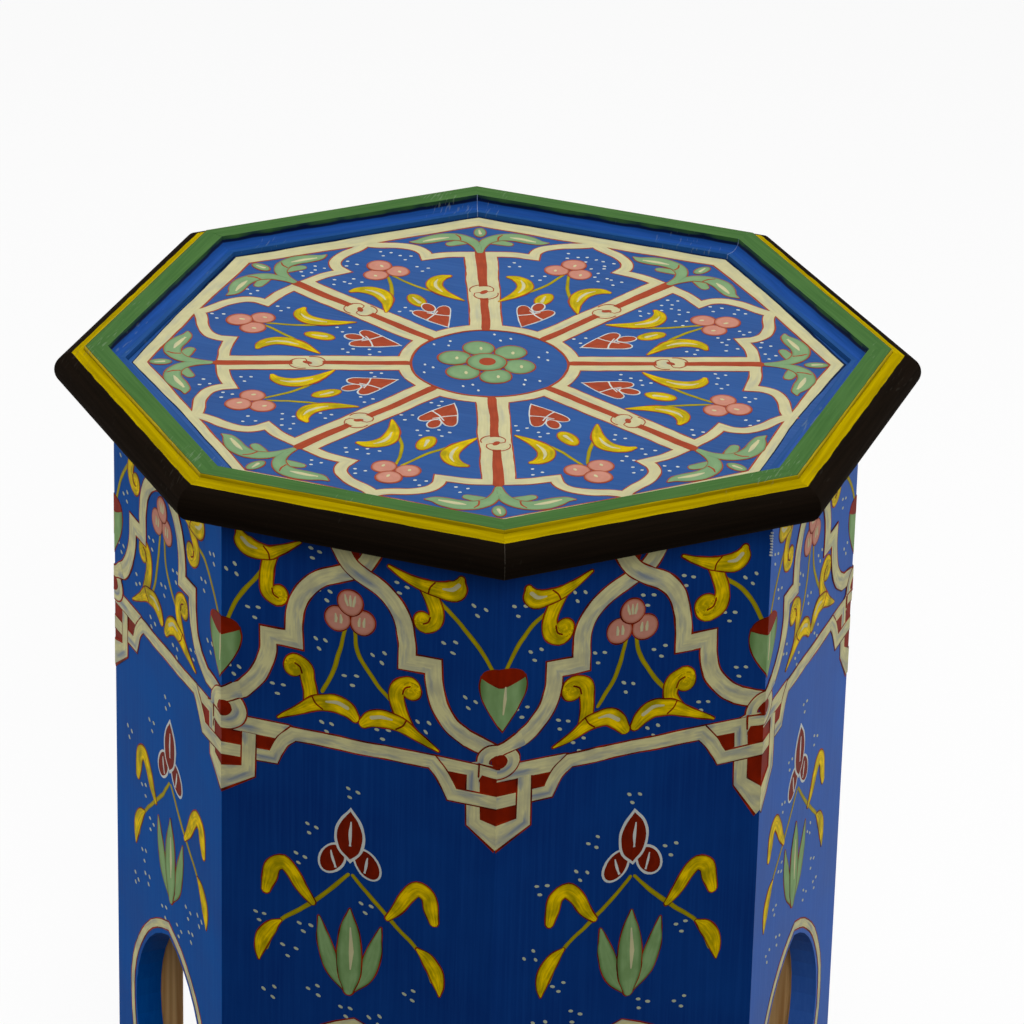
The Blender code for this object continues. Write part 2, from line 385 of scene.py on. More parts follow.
@dataclass(frozen=True)
class BlueGround:
    """Blue gloss paint, brushed on by hand and varnished.

    Bristles leave fine pale and dark lines in it, the coat is cloudy over larger patches, and
    the faces that nobody sees are left as bare softwood.
    """

    name: str
    brushing: Brushing
    bare_within: float
    bare_below: float
    body: str
    pale: str
    deep: str
    streak_share: float = 0.3
    slant: float = 14.0
    sheen: float = 0.03
    wood: str = "B98F5A"
    dark_wood: str = "8A6236"
    roughness: float = 0.42

    def material(self) -> bpy.types.Material:
        """Builds the ground's material.

        Returns:
            A blue painted material that turns to bare wood inside the body.
        """
        made, tree, shader = start_material(self.name)
        out, _, height, place = octagon_place(tree)
        marks = per_metre(*self.brushing.value)
        bristles = streaks(tree, place, marks, 4.0, self.slant, Roughness=0.65)
        # Cloudy patches of the coat are about 45 mm across.
        clouds = speckle(tree, place, 45, 3.0)
        base = blend(tree, ranged(tree, clouds, 0.35, 0.7), linear(self.deep), linear(self.body))
        streak = ranged(tree, bristles, 0.42, 0.72, 0.0, self.streak_share)
        coat = blend(tree, streak, base, linear(self.pale))
        # The growth rings of the bare wood are 5 mm apart and 120 mm long.
        rings = streaks(tree, place, per_metre(5, 5, 120), 4.0)
        timber = blend(tree, rings, linear(self.wood), linear(self.dark_wood))
        inside = reckon(tree, "LESS_THAN", out, self.bare_within)
        under = reckon(tree, "LESS_THAN", height, self.bare_below)
        colour = blend(tree, reckon(tree, "MULTIPLY", inside, under), coat, timber)
        relief = add_node(tree, "Bump", {"Height": bristles, "Strength": 0.3, "Distance": 0.2 * MM})
        gloss = ranged(tree, clouds, 0.0, 1.0, self.roughness - 0.08, self.roughness + 0.10)
        feed(tree, shader, {"Base Color": colour, "Roughness": gloss, "Normal": relief.outputs[0],
                            "Specular IOR Level": self.sheen})
        return made


@dataclass(frozen=True)
class BandedPaint:
    """Gloss paints brushed side by side along a moulding, and varnished.

    Each meets the next along a hand-drawn line, and the coat is thin and scratched in places.
    The bands are listed from the outside in, each with the distance from the axis where it ends.
    """

    name: str
    bands: tuple[tuple[str, str, float], ...]
    scratch: str = "AEBBA4"
    scratch_share: float = 0.16
    wobble: float = 0.25 * MM
    blur: float = 0.15 * MM
    roughness: float = 0.45
    sheen: float = 0.03

    def material(self) -> bpy.types.Material:
        """Builds the moulding's material.

        Returns:
            A material whose colour changes with the distance from the table's axis.
        """
        made, tree, shader = start_material(self.name)
        out, side, height, place = octagon_place(tree)
        # The hand that draws the line between two colours strays over about 14 mm.
        centred = reckon(tree, "SUBTRACT", speckle(tree, place, 14, 2.0), 0.5)
        edge = reckon(tree, "ADD", out, reckon(tree, "MULTIPLY", centred, 2 * self.wobble))
        # Brush marks follow each flat for 45 mm, and are drawn 2 mm apart so that they show.
        run = add_node(tree, "CombineXYZ", {"X": side, "Y": out, "Z": height}).outputs[0]
        bristles = streaks(tree, run, per_metre(45, 2, 2), 4.0)
        lines = ranged(tree, bristles, 0.35, 0.7)
        coats = [blend(tree, lines, linear(deep), linear(body)) for body, deep, _ in self.bands]
        colour = coats[0]
        for (_, _, ends), coat in zip(self.bands, coats[1:]):
            outside = ranged(tree, edge, ends - self.blur, ends + self.blur)
            colour = blend(tree, outside, coat, colour)
        # Scuffs are 1.1 mm wide and up to 9 mm long, in worn patches of about 38 mm.
        scuffs = streaks(tree, place, per_metre(1.1, 9, 4), 1.0, 38)
        worn = reckon(tree, "MULTIPLY", scuffs, speckle(tree, place, 38, 1.0))
        amount = ranged(tree, worn, 0.40, 0.47, 0.0, self.scratch_share)
        colour = blend(tree, amount, colour, linear(self.scratch))
        relief = add_node(tree, "Bump", {"Height": bristles, "Strength": 0.25, "Distance": 0.2 * MM})
        gloss = ranged(tree, lines, 0.0, 1.0, self.roughness + 0.06, self.roughness - 0.04)
        feed(tree, shader, {"Base Color": colour, "Roughness": gloss, "Normal": relief.outputs[0],
                            "Specular IOR Level": self.sheen})
        return made


@dataclass(frozen=True)
class PlanedPine:
    """Softwood straight from the plane: pale, dry, with darker growth rings along its length."""

    name: str = "planed_bare_pine"
    pale: str = "CFA970"
    dark: str = "A5773F"
    roughness: float = 0.75

    def material(self) -> bpy.types.Material:
        """Builds the bare wood.

        Returns:
            A matt wood material with upright grain.
        """
        made, tree, shader = start_material(self.name)
        place = add_node(tree, "TexCoord").outputs["Object"]
        # Growth rings are 4 mm apart and 140 mm long.
        rings = streaks(tree, place, per_metre(4, 4, 140), 5.0, Distortion=0.4)
        colour = blend(tree, ranged(tree, rings, 0.35, 0.65), linear(self.pale), linear(self.dark))
        relief = add_node(tree, "Bump", {"Height": rings, "Strength": 0.3, "Distance": 0.3 * MM})
        feed(tree, shader, {"Base Color": colour, "Roughness": self.roughness, "Normal": relief.outputs[0]})
        return made


@dataclass(frozen=True)
class ZincSteel:
    """Turned steel screw with a dull zinc plating, mottled where the plating is thin."""

    name: str = "zinc_plated_steel"
    body: str = "B4B6B4"
    dull: str = "8A8C8C"
    smooth: float = 0.28
    rough: float = 0.5

    def material(self) -> bpy.types.Material:
        """Builds the plated steel.

        Returns:
            A metal whose roughness varies in 2 mm patches.
        """
        made, tree, shader = start_material(self.name)
        place = add_node(tree, "TexCoord").outputs["Object"]
        mottle = speckle(tree, place, 2, 3.0)
        colour = blend(tree, mottle, linear(self.body), linear(self.dull))
        gloss = ranged(tree, mottle, 0.0, 1.0, self.smooth, self.rough)
        feed(tree, shader, {"Base Color": colour, "Roughness": gloss, "Metallic": 1.0})
        return made


def curve(knots: Sequence[Sequence[float]], step: float = 1.6) -> list[tuple[float, ...]]:
    """Draws a smooth curve through the knots.

    Args:
        knots: points, with any further values that change along the curve.
        step: the most that two points of the result lie apart, in millimetres.

    Returns:
        Points on the curve, the first and last knot among them.
    """
    stops = [Vector(k) for k in knots]
    ahead = [stops[0] * 2 - stops[1], *stops, stops[-1] * 2 - stops[-2]]
    drawn = []
    for a, b, c, d in zip(ahead, ahead[1:], ahead[2:], ahead[3:]):
        count = max(1, math.ceil((c - b).length / step))
        for i in range(count):
            t = i / count
            square, cube = a * 2 - b * 5 + c * 4 - d, b * 3 - a - c * 3 + d
            bend = b * 2 + (c - a) * t + square * t ** 2 + cube * t ** 3
            drawn.append(tuple(0.5 * bend))
    return [*drawn, tuple(stops[-1])]


def arc(centre: Point, radius: float, start: float, end: float) -> list[Point]:
    """Draws a circular arc.

    Args:
        centre: its middle.
        radius: its radius, in millimetres.
        start: the angle that it starts from, in degrees.
        end: the angle that it ends at, in degrees.

    Returns:
        Points about 7 degrees apart.
    """
    count = max(2, math.ceil(abs(end - start) / 7))
    turns = [math.radians(start + (end - start) * i / count) for i in range(count + 1)]
    return [(centre[0] + radius * math.cos(t), centre[1] + radius * math.sin(t)) for t in turns]


def flipped(points: Iterable[Sequence[float]]) -> list[tuple[float, ...]]:
    """Mirrors points about the upright axis and turns their order round."""
    return [(-p[0], *p[1:]) for p in reversed(list(points))]


def weighted(points: Iterable[Sequence[float]], half: float) -> list[Knot]:
    """Gives every point of a line the same half width."""
    return [(p[0], p[1], half) for p in points]


def moved(points: Iterable[Sequence[float]], across: float, up: float) -> list[tuple[float, ...]]:
    """Shifts points on the face."""
    return [(p[0] + across, p[1] + up, *p[2:]) for p in points]


def turned(angle: float) -> Matrix:
    """Turns a drawing made with its outward side up, so that it points along an angle."""
    return Matrix.Rotation(angle - math.pi / 2, 4, "Z")


@dataclass(frozen=True)
class Patch:
    """One flat triangle or outline of paint, with the stroke map at its corners."""

    corners: tuple[Vector, ...]
    maps: tuple[Point, ...]

    def fit(self) -> np.ndarray:
        """Finds the straight-line rule that gives the stroke map anywhere on the patch.

        Returns:
            Three rows that turn (x, y, 1) into the map's two values.
        """
        spots = np.array([(c.x, c.y, 1.0) for c in self.corners])
        return np.linalg.lstsq(spots, np.array(self.maps), rcond=None)[0]


class Sheet:
    """A flat painted face, in millimetres, that takes strokes and shapes in coats.

    Strokes of one paint in one coat run into each other as wet paint does, and every coat lies
    a little higher than the one before.
    """

    def __init__(self, name: str, to_world: Matrix, seed: float, slant: float, dots: Paint, length: float,
                 reach: float = math.inf) -> None:
        """Starts an empty face.

        Args:
            name: the name of the piece that it becomes.
            to_world: takes millimetres on the face to metres in the frame.
            seed: makes this face's hand-drawn waver its own.
            slant: the way that the brush points for dots, in degrees.
            dots: the paint of the dots.
            length: how long a dot is for its width.
            reach: how far aside the next face starts, where the drawing goes on over the corner.
        """
        self.name = name
        self.slant = slant
        self.dots = dots
        self.length = length
        self.reach = reach
        self.to_world = to_world
        self.seed = seed
        self.coats: dict[tuple[int, Paint], list[Patch]] = {}
        self.marks: list[Knot] = []

    def waver(self, point: Vector, layer: int) -> Vector:
        """Moves a point as an unsteady hand does.

        Args:
            point: where the drawing puts it.
            layer: the coat that it belongs to, since each coat is drawn anew.

        Returns:
            Where the brush puts it.
        """
        slow = (point.x / SWAY_LENGTH, point.y / SWAY_LENGTH, self.seed)
        quick = (point.x / SHAKE_LENGTH, point.y / SHAKE_LENGTH, self.seed + 3.1 * layer)
        sway = noise.noise_vector(Vector(slow)) * SWAY
        shake = noise.noise_vector(Vector(quick)) * SHAKE
        steady = min(1, max(0, (self.reach - abs(point.x)) / STEADY_LENGTH))
        return (point + (sway + shake) * steady).to_2d()

    def lay(self, corners: Sequence[Vector], maps: Sequence[Point], paint: Paint, layer: int) -> None:
        """Lays one patch of paint, unless it is too small to see.

        Args:
            corners: its wavered corners, in order.
            maps: the stroke map at each corner.
            paint: the paint.
            layer: the coat that it is part of.
        """
        pairs = zip(corners, [*corners[1:], corners[0]])
        area = sum(a.x * b.y - b.x * a.y for a, b in pairs) / 2
        if abs(area) < SPECK:
            return
        order = 1 if area > 0 else -1
        patch = Patch(tuple(corners[::order]), tuple(maps[::order]))
        self.coats.setdefault((layer, paint), []).append(patch)

    def stroke(self, knots: Sequence[Knot], paint: Paint, layer: int, place: Matrix = HAND,
               edge: Paint | None = None, edge_width: float = 0.65, closed: bool = False,
               square: bool = False) -> None:
        """Draws one stroke of the brush.

        Args:
            knots: points along its middle, each with half the stroke's width there.
            paint: the paint.
            layer: the coat that it is part of.
            place: moves the stroke on the face.
            edge: the paint of an outline, drawn one coat lower.
            edge_width: how far the outline shows, in millimetres.
            closed: whether the stroke ends where it began.
            square: whether its ends are cut straight instead of rounded.
        """
        if edge is not None:
            wider = [(x, y, half + edge_width) for x, y, half in knots]
            self.stroke(wider, edge, layer - 1, place, closed=closed, square=square)
        knots = self.unfolded(knots)
        if not closed and not square:
            knots = self.rounded(knots)
        middle = [Vector((x, y, 0)) for x, y, _ in knots]
        last = len(middle) - 1
        left, right, along = [], [], [0.0]
        for i, (here, knot) in enumerate(zip(middle, knots)):
            before = middle[i - 1] if i or closed else here
            after = middle[(i + 1) % len(middle)] if i < last or closed else here
            into, out = here - before, after - here
            into, out = (into or out).normalized(), (out or into).normalized()
            bend = (into + out).normalized() or out
            aside = Vector((-bend.y, bend.x, 0)) * (knot[2] / max(0.5, bend.dot(out)))
            left.append(self.waver(place @ (here + aside), layer))
            right.append(self.waver(place @ (here - aside), layer))
            spot = place @ here
            self.marks.append((spot.x, spot.y, knot[2]))
            if i:
                along.append(along[-1] + (here - before).length)
        if closed:
            left.append(left[0])
            right.append(right[0])
            along.append(along[-1] + (middle[0] - middle[-1]).length)
        for i in range(len(left) - 1):
            u, w = along[i], along[i + 1]
            self.lay((left[i], right[i], right[i + 1]), ((u, -1), (u, 1), (w, 1)), paint, layer)
            self.lay((left[i], right[i + 1], left[i + 1]), ((u, -1), (w, 1), (w, -1)), paint, layer)

    @staticmethod
    def unfolded(knots: Sequence[Knot]) -> list[Knot]:
        """Leaves out points so near a sharp turn that a wide stroke would fold over itself there.

        Args:
            knots: points along the stroke's middle, each with half its width.

        Returns:
            The points that stay.
        """
        turns = []
        for before, here, after in zip(knots, knots[1:], knots[2:]):
            into = Vector(here[:2]) - Vector(before[:2])
            angle = abs(into.angle_signed(Vector(after[:2]) - Vector(here[:2]), 0))
            if angle > SHARP_TURN:
                turns.append((here, here[2] * math.tan(angle / 2)))
        corners = [corner for corner, _ in turns]
        clear = [all(math.dist(knot[:2], corner[:2]) > near for corner, near in turns) for knot in knots]
        return [knot for knot, stays in zip(knots, clear) if stays or knot in corners]

    @staticmethod
    def rounded(knots: Sequence[Knot]) -> list[Knot]:
        """Rounds both ends of an open stroke off, where it is wide enough to need it.

        Args:
            knots: points along the stroke's middle, each with half its width.

        Returns:
            The same points, with those of the rounded ends.
        """
        done = list(knots)
        for end, neighbour, first in ((done[0], done[1], True), (done[-1], done[-2], False)):
            half = end[2]
            if half < BLUNT:
                continue
            away = (Vector(end[:2]) - Vector(neighbour[:2])).normalized()
            cap = []
            for share in CAP_SHARES:
                tip = Vector(end[:2]) + away * half * share
                cap.append((tip.x, tip.y, half * math.sqrt(1 - share ** 2)))
            done = [*reversed(cap), *done] if first else [*done, *cap]
        return done

    def disc(self, centre: Point, radii: Point, paint: Paint, layer: int, place: Matrix = HAND,
             tilt: float = 0.0, edge: Paint | None = None, edge_width: float = 0.65,
             sides: int = 24) -> None:
        """Draws an oval blob of paint.

        Args:
            centre: its middle.
            radii: its half width and half height.
            paint: the paint.
            layer: the coat that it is part of.
            place: moves the blob on the face.
            tilt: how far it leans, in degrees anticlockwise.
            edge: the paint of an outline, drawn one coat lower.
            edge_width: how far the outline shows, in millimetres.
            sides: how many corners its rim has.
        """
        if edge is not None:
            grown = (radii[0] + edge_width, radii[1] + edge_width)
            self.disc(centre, grown, edge, layer - 1, place, tilt, sides=sides)
        lean = place @ Matrix.Translation((*centre, 0)) @ Matrix.Rotation(math.radians(tilt), 4, "Z")
        turns = [math.tau * i / sides for i in range(sides + 1)]
        rings = []
        for share in (0.0, 0.6, 1.0):
            wide, high = radii[0] * share, radii[1] * share
            ring = [Vector((wide * math.cos(a), high * math.sin(a), 0)) for a in turns]
            rings.append((share, [self.waver(lean @ spot, layer) for spot in ring]))
        for i in range(sides):
            u, w = radii[0] * math.tau * i / sides, radii[0] * math.tau * (i + 1) / sides
            for (a, inner), (b, outer) in zip(rings, rings[1:]):
                self.lay((inner[i], outer[i], outer[i + 1]), ((u, a), (u, b), (w, b)), paint, layer)
                self.lay((inner[i], outer[i + 1], inner[i + 1]), ((u, a), (w, b), (w, a)), paint, layer)
        spot = lean @ Vector((0, 0, 0))
        self.marks.append((spot.x, spot.y, max(radii)))

    def shape(self, outline: Sequence[Point], paint: Paint, layer: int, place: Matrix = HAND,
              edge: Paint | None = None, edge_width: float = 0.65) -> None:
        """Fills an outline with paint.

        Args:
            outline: its corners, in order.
            paint: the paint.
            layer: the coat that it is part of.
            place: moves the shape on the face.
            edge: the paint of an outline, drawn one coat lower.
            edge_width: how far the outline shows, in millimetres.
        """
        if edge is not None:
            self.stroke(weighted(outline, edge_width), edge, layer - 1, place, closed=True)
        lowest, highest = min(p[0] for p in outline), max(p[0] for p in outline)
        half = max(highest - lowest, 1e-6) / 2
        spots = [place @ Vector((p[0], p[1], 0)) for p in outline]
        maps = [(p[1], (p[0] - lowest) / half - 1) for p in outline]
        self.lay([self.waver(s, layer) for s in spots], maps, paint, layer)
        self.marks += [(s.x, s.y, edge_width) for s in spots]

    def dot_group(self, spot: Point, size: float) -> None:
        """Sets three small pale dots together, as a rule two above and one below.

        Args:
            spot: the middle of the group.
            size: the half width of a dot.
        """
        sway = noise.noise_vector(Vector((spot[0] / 5, spot[1] / 5, self.seed)))
        for i in range(3):
            a = math.radians(120 * i + 30 + 60 * sway.x)
            reach = 3.3 + 1.4 * noise.noise(Vector((spot[0], spot[1], i + self.seed)))
            centre = (spot[0] + reach * math.cos(a), spot[1] + reach * math.sin(a))
            tilt = self.slant + 40 * sway.y
            self.disc(centre, (size * self.length, size), self.dots, 0, tilt=tilt, sides=10)

    def scatter(self, spots: Iterable[Point], size: float, clear: float) -> None:
        """Sets groups of dots wherever the ground is still bare.

        Args:
            spots: where groups are tried.
            size: the half width of a dot.
            clear: how far a group's middle keeps from any other paint, in millimetres.
        """
        for spot in spots:
            if all(math.hypot(spot[0] - x, spot[1] - y) > half + clear for x, y, half in self.marks):
                self.dot_group(spot, size)

    def strewn(self, low: Point, high: Point, step: float) -> list[Point]:
        """Lists places all over a rectangle, unevenly spaced.

        Args:
            low: the rectangle's lower left corner.
            high: its upper right corner.
            step: how far apart the places are on average, in millimetres.

        Returns:
            The places.
        """
        places = []
        for row in range(int((high[1] - low[1]) / step) + 1):
            for column in range(int((high[0] - low[0]) / step) + 1):
                x, y = low[0] + step * (column + 0.5 * (row % 2)), low[1] + step * row
                shift = noise.noise_vector(Vector((x / 3.7, y / 3.7, self.seed + 40))) * step * 0.45
                places.append((x + shift.x, y + shift.y))
        return places

    def piece(self, cuts: Iterable[tuple[Point, Knot]],
              materials: dict[Paint, bpy.types.Material]) -> bpy.types.Object:
        """Trims the painting, gives each coat its thickness and makes it a piece of the table.

        Args:
            cuts: a point and an outward direction for each straight edge that trims the painting.
            materials: the material of each paint.

        Returns:
            The painting, riding on the table.
        """
        paints = list(Paint)
        bm = bmesh.new()
        uv = bm.loops.layers.uv.new(STROKE_MAP)
        for layer, paint in sorted(self.coats, key=lambda coat: (coat[0], paints.index(coat[1]))):
            patches = self.coats[layer, paint]
            height = COAT * (layer + 1 + paints.index(paint) / len(paints))
            points: list[Vector] = []
            rings = []
            for patch in patches:
                rings.append(list(range(len(points), len(points) + len(patch.corners))))
                points += patch.corners
            flat, _, faces, _, _, sources = delaunay_2d_cdt(points, [], rings, 1, MERGE)
            verts = [bm.verts.new((p.x, p.y, height)) for p in flat]
            fits: dict[int, np.ndarray] = {}
            for corners, source in zip(faces, sources):
                if not source:
                    continue  # Bare ground that strokes close in.
                if source[0] not in fits:
                    fits[source[0]] = patches[source[0]].fit()
                face = bm.faces.new([verts[c] for c in corners])
                face.material_index = paints.index(paint)
                for loop in face.loops:
                    loop[uv].uv = np.array((loop.vert.co.x, loop.vert.co.y, 1.0)) @ fits[source[0]]
        for point, outward in cuts:
            everything = bm.verts[:] + bm.edges[:] + bm.faces[:]
            bmesh.ops.bisect_plane(bm, geom=everything, dist=1e-4, plane_co=(*point, 0),
                                   plane_no=outward, clear_outer=True)
        bmesh.ops.delete(bm, geom=[v for v in bm.verts if not v.link_faces], context="VERTS")
        grown = bmesh.ops.extrude_face_region(bm, geom=bm.faces[:])
        for item in grown["geom"]:
            if isinstance(item, bmesh.types.BMVert):
                item.co.z = 0
        bmesh.ops.recalc_face_normals(bm, faces=bm.faces[:])
        bmesh.ops.transform(bm, matrix=self.to_world, verts=bm.verts[:])
        made = add_object(self.name, bm)
        for paint in paints:
            made.data.materials.append(materials[paint])
        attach(made, "root")
        log.info("painted %s with %d faces", self.name, len(made.data.polygons))
        return made


@dataclass(frozen=True)
class FillingDrift:
    """How far one cartouche's filling strays from the plan, in millimetres to the right and outwards."""

    flower: Point
    left: Point
    right: Point
    bud: Point
    heart: Point


FILLINGS = (
    FillingDrift((1.1, -2.2), (2.1, -5.3), (1.1, 0.0), (2.8, -1.8), (3.5, -1.0)),
    FillingDrift((0.8, -1.6), (2.5, -6.0), (-1.3, -2.5), (1.4, -3.8), (0.3, -0.6)),
    FillingDrift((-1.1, -4.7), (0.3, -8.9), (-0.9, -7.1), (-0.8, -10.6), (0.0, -4.5)),
    FillingDrift((-3.9, -4.7), (-1.8, -5.0), (-2.8, -6.8), (-3.6, -10.6), (-1.5, -4.5)),
    FillingDrift((-0.8, 0.9), (-0.5, 2.4), (-2.7, -0.5), (-2.8, -3.0), (2.2, -3.0)),
    FillingDrift((3.4, 0.0), (0.3, 0.0), (0.0, -5.0), (-1.4, -4.3), (-0.3, -1.5)),
    FillingDrift((-0.5, 4.8), (-3.0, 1.7), (-0.8, -1.2), (-3.9, 3.8), (0.0, -1.0)),
    FillingDrift((4.2, 2.0), (1.7, 3.4), (0.4, -0.4), (-0.3, -0.4), (0.0, -0.5)),
)


@dataclass
class TopOrnament:
    """Painting of the top: a rosette, eight spokes with knots, eight cartouches and a border.

    A cartouche is drawn with the table's middle below it, in millimetres from that middle.
    """

    # Per side: the border's distance from the middle, its half width, and the half width of the painted
    # shadow line outside it, wider on the back sides where the rim shades the board.
    borders: tuple[Knot, ...] = ((159.0, 2.3, 0.2), (162.3, 3.6, 1.0), (160.9, 4.7, 1.6), (160.9, 4.7, 1.6),
                                 (162.0, 3.7, 0.3), (159.8, 2.4, 0.2), (161.6, 2.4, 0.2), (161.6, 2.4, 0.2))
    corner_drift: tuple[float, ...] = (0.4, -2.4, -3.0, -1.2, 0.6, 0.6, 1.0, 0.6)
    disc: float = 39.0
    band: float = 2.9
    spoke: float = 2.1
    spoke_end: float = 132.4
    knots: tuple[float, ...] = (90.6, 87.7, 85.3, 89.6, 90.6, 93.0, 91.0, 92.7)
    dot: float = 0.66
    dot_step: float = 10.6
    dot_clear: float = 3.9
    dot_field: float = 170.0
    margin: float = 4.0
    trim: float = 0.1
    materials: dict[Paint, bpy.types.Material] = field(default_factory=dict)

    def build(self) -> bpy.types.Object:
        """Paints the whole top board.

        Returns:
            The painting.
        """
        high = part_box("top_board")[1]
        ground = Matrix.Translation((0, 0, high[2])) @ Matrix.Scale(MM, 4)
        sheet = Sheet("top_painting", ground, seed=0.0, slant=20.0, dots=Paint.CHALK, length=1.4)
        self.paint_border(sheet)
        for i, (filling, knot) in enumerate(zip(FILLINGS, self.knots)):
            flat, corner = turned(SECTOR * i), turned(SECTOR * (i + 0.5))
            self.paint_cartouche(sheet, flat)
            self.paint_spray(sheet, flat, filling)
            self.paint_spoke(sheet, corner, knot)
            self.paint_corner(sheet, corner @ Matrix.Translation((0, self.corner_drift[i], 0)))
        self.paint_rosette(sheet)
        reach = min(apothem - half for apothem, half, _ in self.borders)
        wide = self.dot_field
        spots = sheet.strewn((-wide, -wide), (wide, wide), self.dot_step)
        spots = [s for s in spots if math.hypot(*s) > self.disc + self.margin]
        edges = [(math.cos(SECTOR * i), math.sin(SECTOR * i)) for i in range(SECTORS)]
        inside = [s for s in spots if all(s[0] * c + s[1] * n < reach - self.margin for c, n in edges)]
        sheet.scatter(inside, self.dot, self.dot_clear)
        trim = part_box("top_board")[1][0] / MM - self.trim
        return sheet.piece([((c * trim, n * trim), (c, n, 0)) for c, n in edges], self.materials)

    def border_path(self, dark: bool, shift: float) -> list[Knot]:
        """Follows the border round the top; it is narrow at the sides and wide at the back.

        Args:
            dark: whether the path is that of the painted shadow line outside the border.
            shift: how far outside its place the path runs, in millimetres.

        Returns:
            Points of the closed path, each with half the stroke's width.
        """
        path = []
        for i, own in enumerate(self.borders):
            for k in range(10, -10, -1):
                other = self.borders[(i + (1 if k < 0 else -1)) % SECTORS]
                apothem, half, line = (a + (b - a) * abs(k) / 20 for a, b in zip(own, other))
                out = shift + (apothem + half + line if dark else apothem)
                spot = turned(SECTOR * i) @ Vector((out * math.tan(SECTOR / 2) * k / 10, out, 0))
                path.append((spot.x, spot.y, line + 0.1 if dark else half))
        return path

    def paint_border(self, sheet: Sheet) -> None:
        """Draws the cream border inside the rim, a red line on its inner side, and outside it a painted
        shadow line, wider along the back, where the rim shades the board.

        Args:
            sheet: the face that takes it.
        """
        # Painted shadow: a dark line just outside the border.
        sheet.stroke(self.border_path(True, 0), Paint.NAVY, 0, closed=True)
        sheet.stroke(self.border_path(False, -0.9), Paint.BRICK, 0, closed=True)
        sheet.stroke(self.border_path(False, 0), Paint.CREAM, 3, closed=True)

    def band_path(self) -> list[Point]:
        """Follows the middle of a cartouche's cream band all the way round.

        Returns:
            Points of the closed band, from the middle of its foot.
        """
        ring, half = self.disc + self.band + 0.5, SECTOR / 2
        aside = self.spoke + self.band
        foot = math.sqrt(ring ** 2 - aside ** 2)
        along, inward = Vector((math.sin(half), math.cos(half))), Vector((-math.cos(half), math.sin(half)))
        lower, upper = (tuple(along * r + inward * aside) for r in (foot, self.spoke_end))
        turn = math.degrees(half - math.asin(aside / ring))
        right = arc((0, 0), ring, 90, 90 - turn)
        right += curve((lower, upper))[1:]
        right += curve((upper, (35.5, 127.9), (23.6, 129.6)))[1:]
        lobe = ((23.6, 129.6), (24.8, 135.5), (22.6, 142.3), (15.4, 148.6), (7.2, 152.4), (2.4, 155.2),
                (0, 157.6))
        right += curve(lobe)[1:]
        return right + flipped(right[1:-1])

    def paint_cartouche(self, sheet: Sheet, place: Matrix) -> None:
        """Draws one cartouche's cream band between its red outlines."""
        path = weighted(self.band_path(), self.band)
        sheet.stroke(path, Paint.CREAM, 2, place, Paint.BRICK, 0.7, closed=True)

    def paint_spray(self, sheet: Sheet, place: Matrix, drift: FillingDrift) -> None:
        """Draws what fills a cartouche: heart, bud, crescent leaves on stems, and flower.

        Args:
            sheet: the face that takes it.
            place: turns it to its eighth of the top.
            drift: how far each of them strays from the plan.
        """
        strays = (drift.flower, drift.bud, drift.heart)
        flower, bud, low = (place @ Matrix.Translation((*stray, 0)) for stray in strays)
        for side, stray, sign in ((place, drift.right, 1), (place @ MIRROR, drift.left, -1)):
            out, up = sign * stray[0], stray[1]
            fall = sign * drift.flower[0]
            stem = ((1.5 + fall, 119 + drift.flower[1], 0.8), (6 + (fall + out) / 2, 107 + up, 1.0),
                    (12.4 + out, 95 + up, 1.0), (20 + out, 82 + up, 0.8))
            sheet.stroke(curve(stem), Paint.OLIVE, 0, side)
            crescent = ((27.4, 110.2, 1.2), (23.4, 110.2, 2.8), (18.8, 107.8, 3.9), (15.6, 102.8, 4.3),
                        (15.2, 96.7, 3.9), (16.8, 90, 2.7), (19.4, 84.4, 1.5), (21.6, 80.2, 0.4))
            sheet.stroke(curve(moved(crescent, out, up)), Paint.LEMON, 3, side, Paint.BRICK, 0.45)
            shine = ((20.4, 109, 0.2), (17.2, 105, 0.8), (15.8, 99.4, 0.8), (16.2, 93.5, 0.2))
            sheet.stroke(curve(moved(shine, out, up)), Paint.CREAM, 4, side)
            notch = ((10.9, 98, 0.2), (12.2, 92.5, 0.5), (15, 87.5, 0.2))
            sheet.stroke(curve(moved(notch, out, up)), Paint.BRICK, 4, side)
        for side in (flower, flower @ MIRROR):
            sheet.disc((6.2, 123.6), (6.0, 6.1), Paint.ROSE, 2, side, edge=Paint.BRICK, edge_width=0.6)
            sheet.disc((6.8, 122.8), (0.8, 1.3), Paint.CREAM, 4, side, sides=10)
        for side in (low, low @ MIRROR):
            heart = curve(((0, 51.6), (4.2, 58.8), (7.6, 66), (9.7, 71.8), (8.9, 74.8), (6, 75.2),
                           (3, 72.6), (0, 68.8)))
            sheet.shape(heart, Paint.BRICK, 3, side, Paint.CHALK, 0.6)
            sheet.stroke(curve(((-3, 71, 0.3), (1.6, 66.6, 0.4), (6.4, 63.4, 0.3))), Paint.CHALK, 4, side)
        sheet.disc((0, 133.6), (6.3, 6.2), Paint.ROSE, 4, flower, edge=Paint.BRICK, edge_width=0.6)
        sheet.disc((0.8, 132.6), (0.8, 1.5), Paint.CREAM, 5, flower, sides=10)
        sheet.disc((0, 93), (4.1, 7.9), Paint.LEMON, 2, bud, edge=Paint.BRICK, edge_width=0.5)
        sheet.stroke(((-0.6, 96.6, 0.4), (0.3, 89.8, 1.0)), Paint.CREAM, 3, bud)
        sheet.disc((0, 76.4), (3.0, 4.8), Paint.BRICK, 5, low, edge=Paint.CHALK, edge_width=0.6)

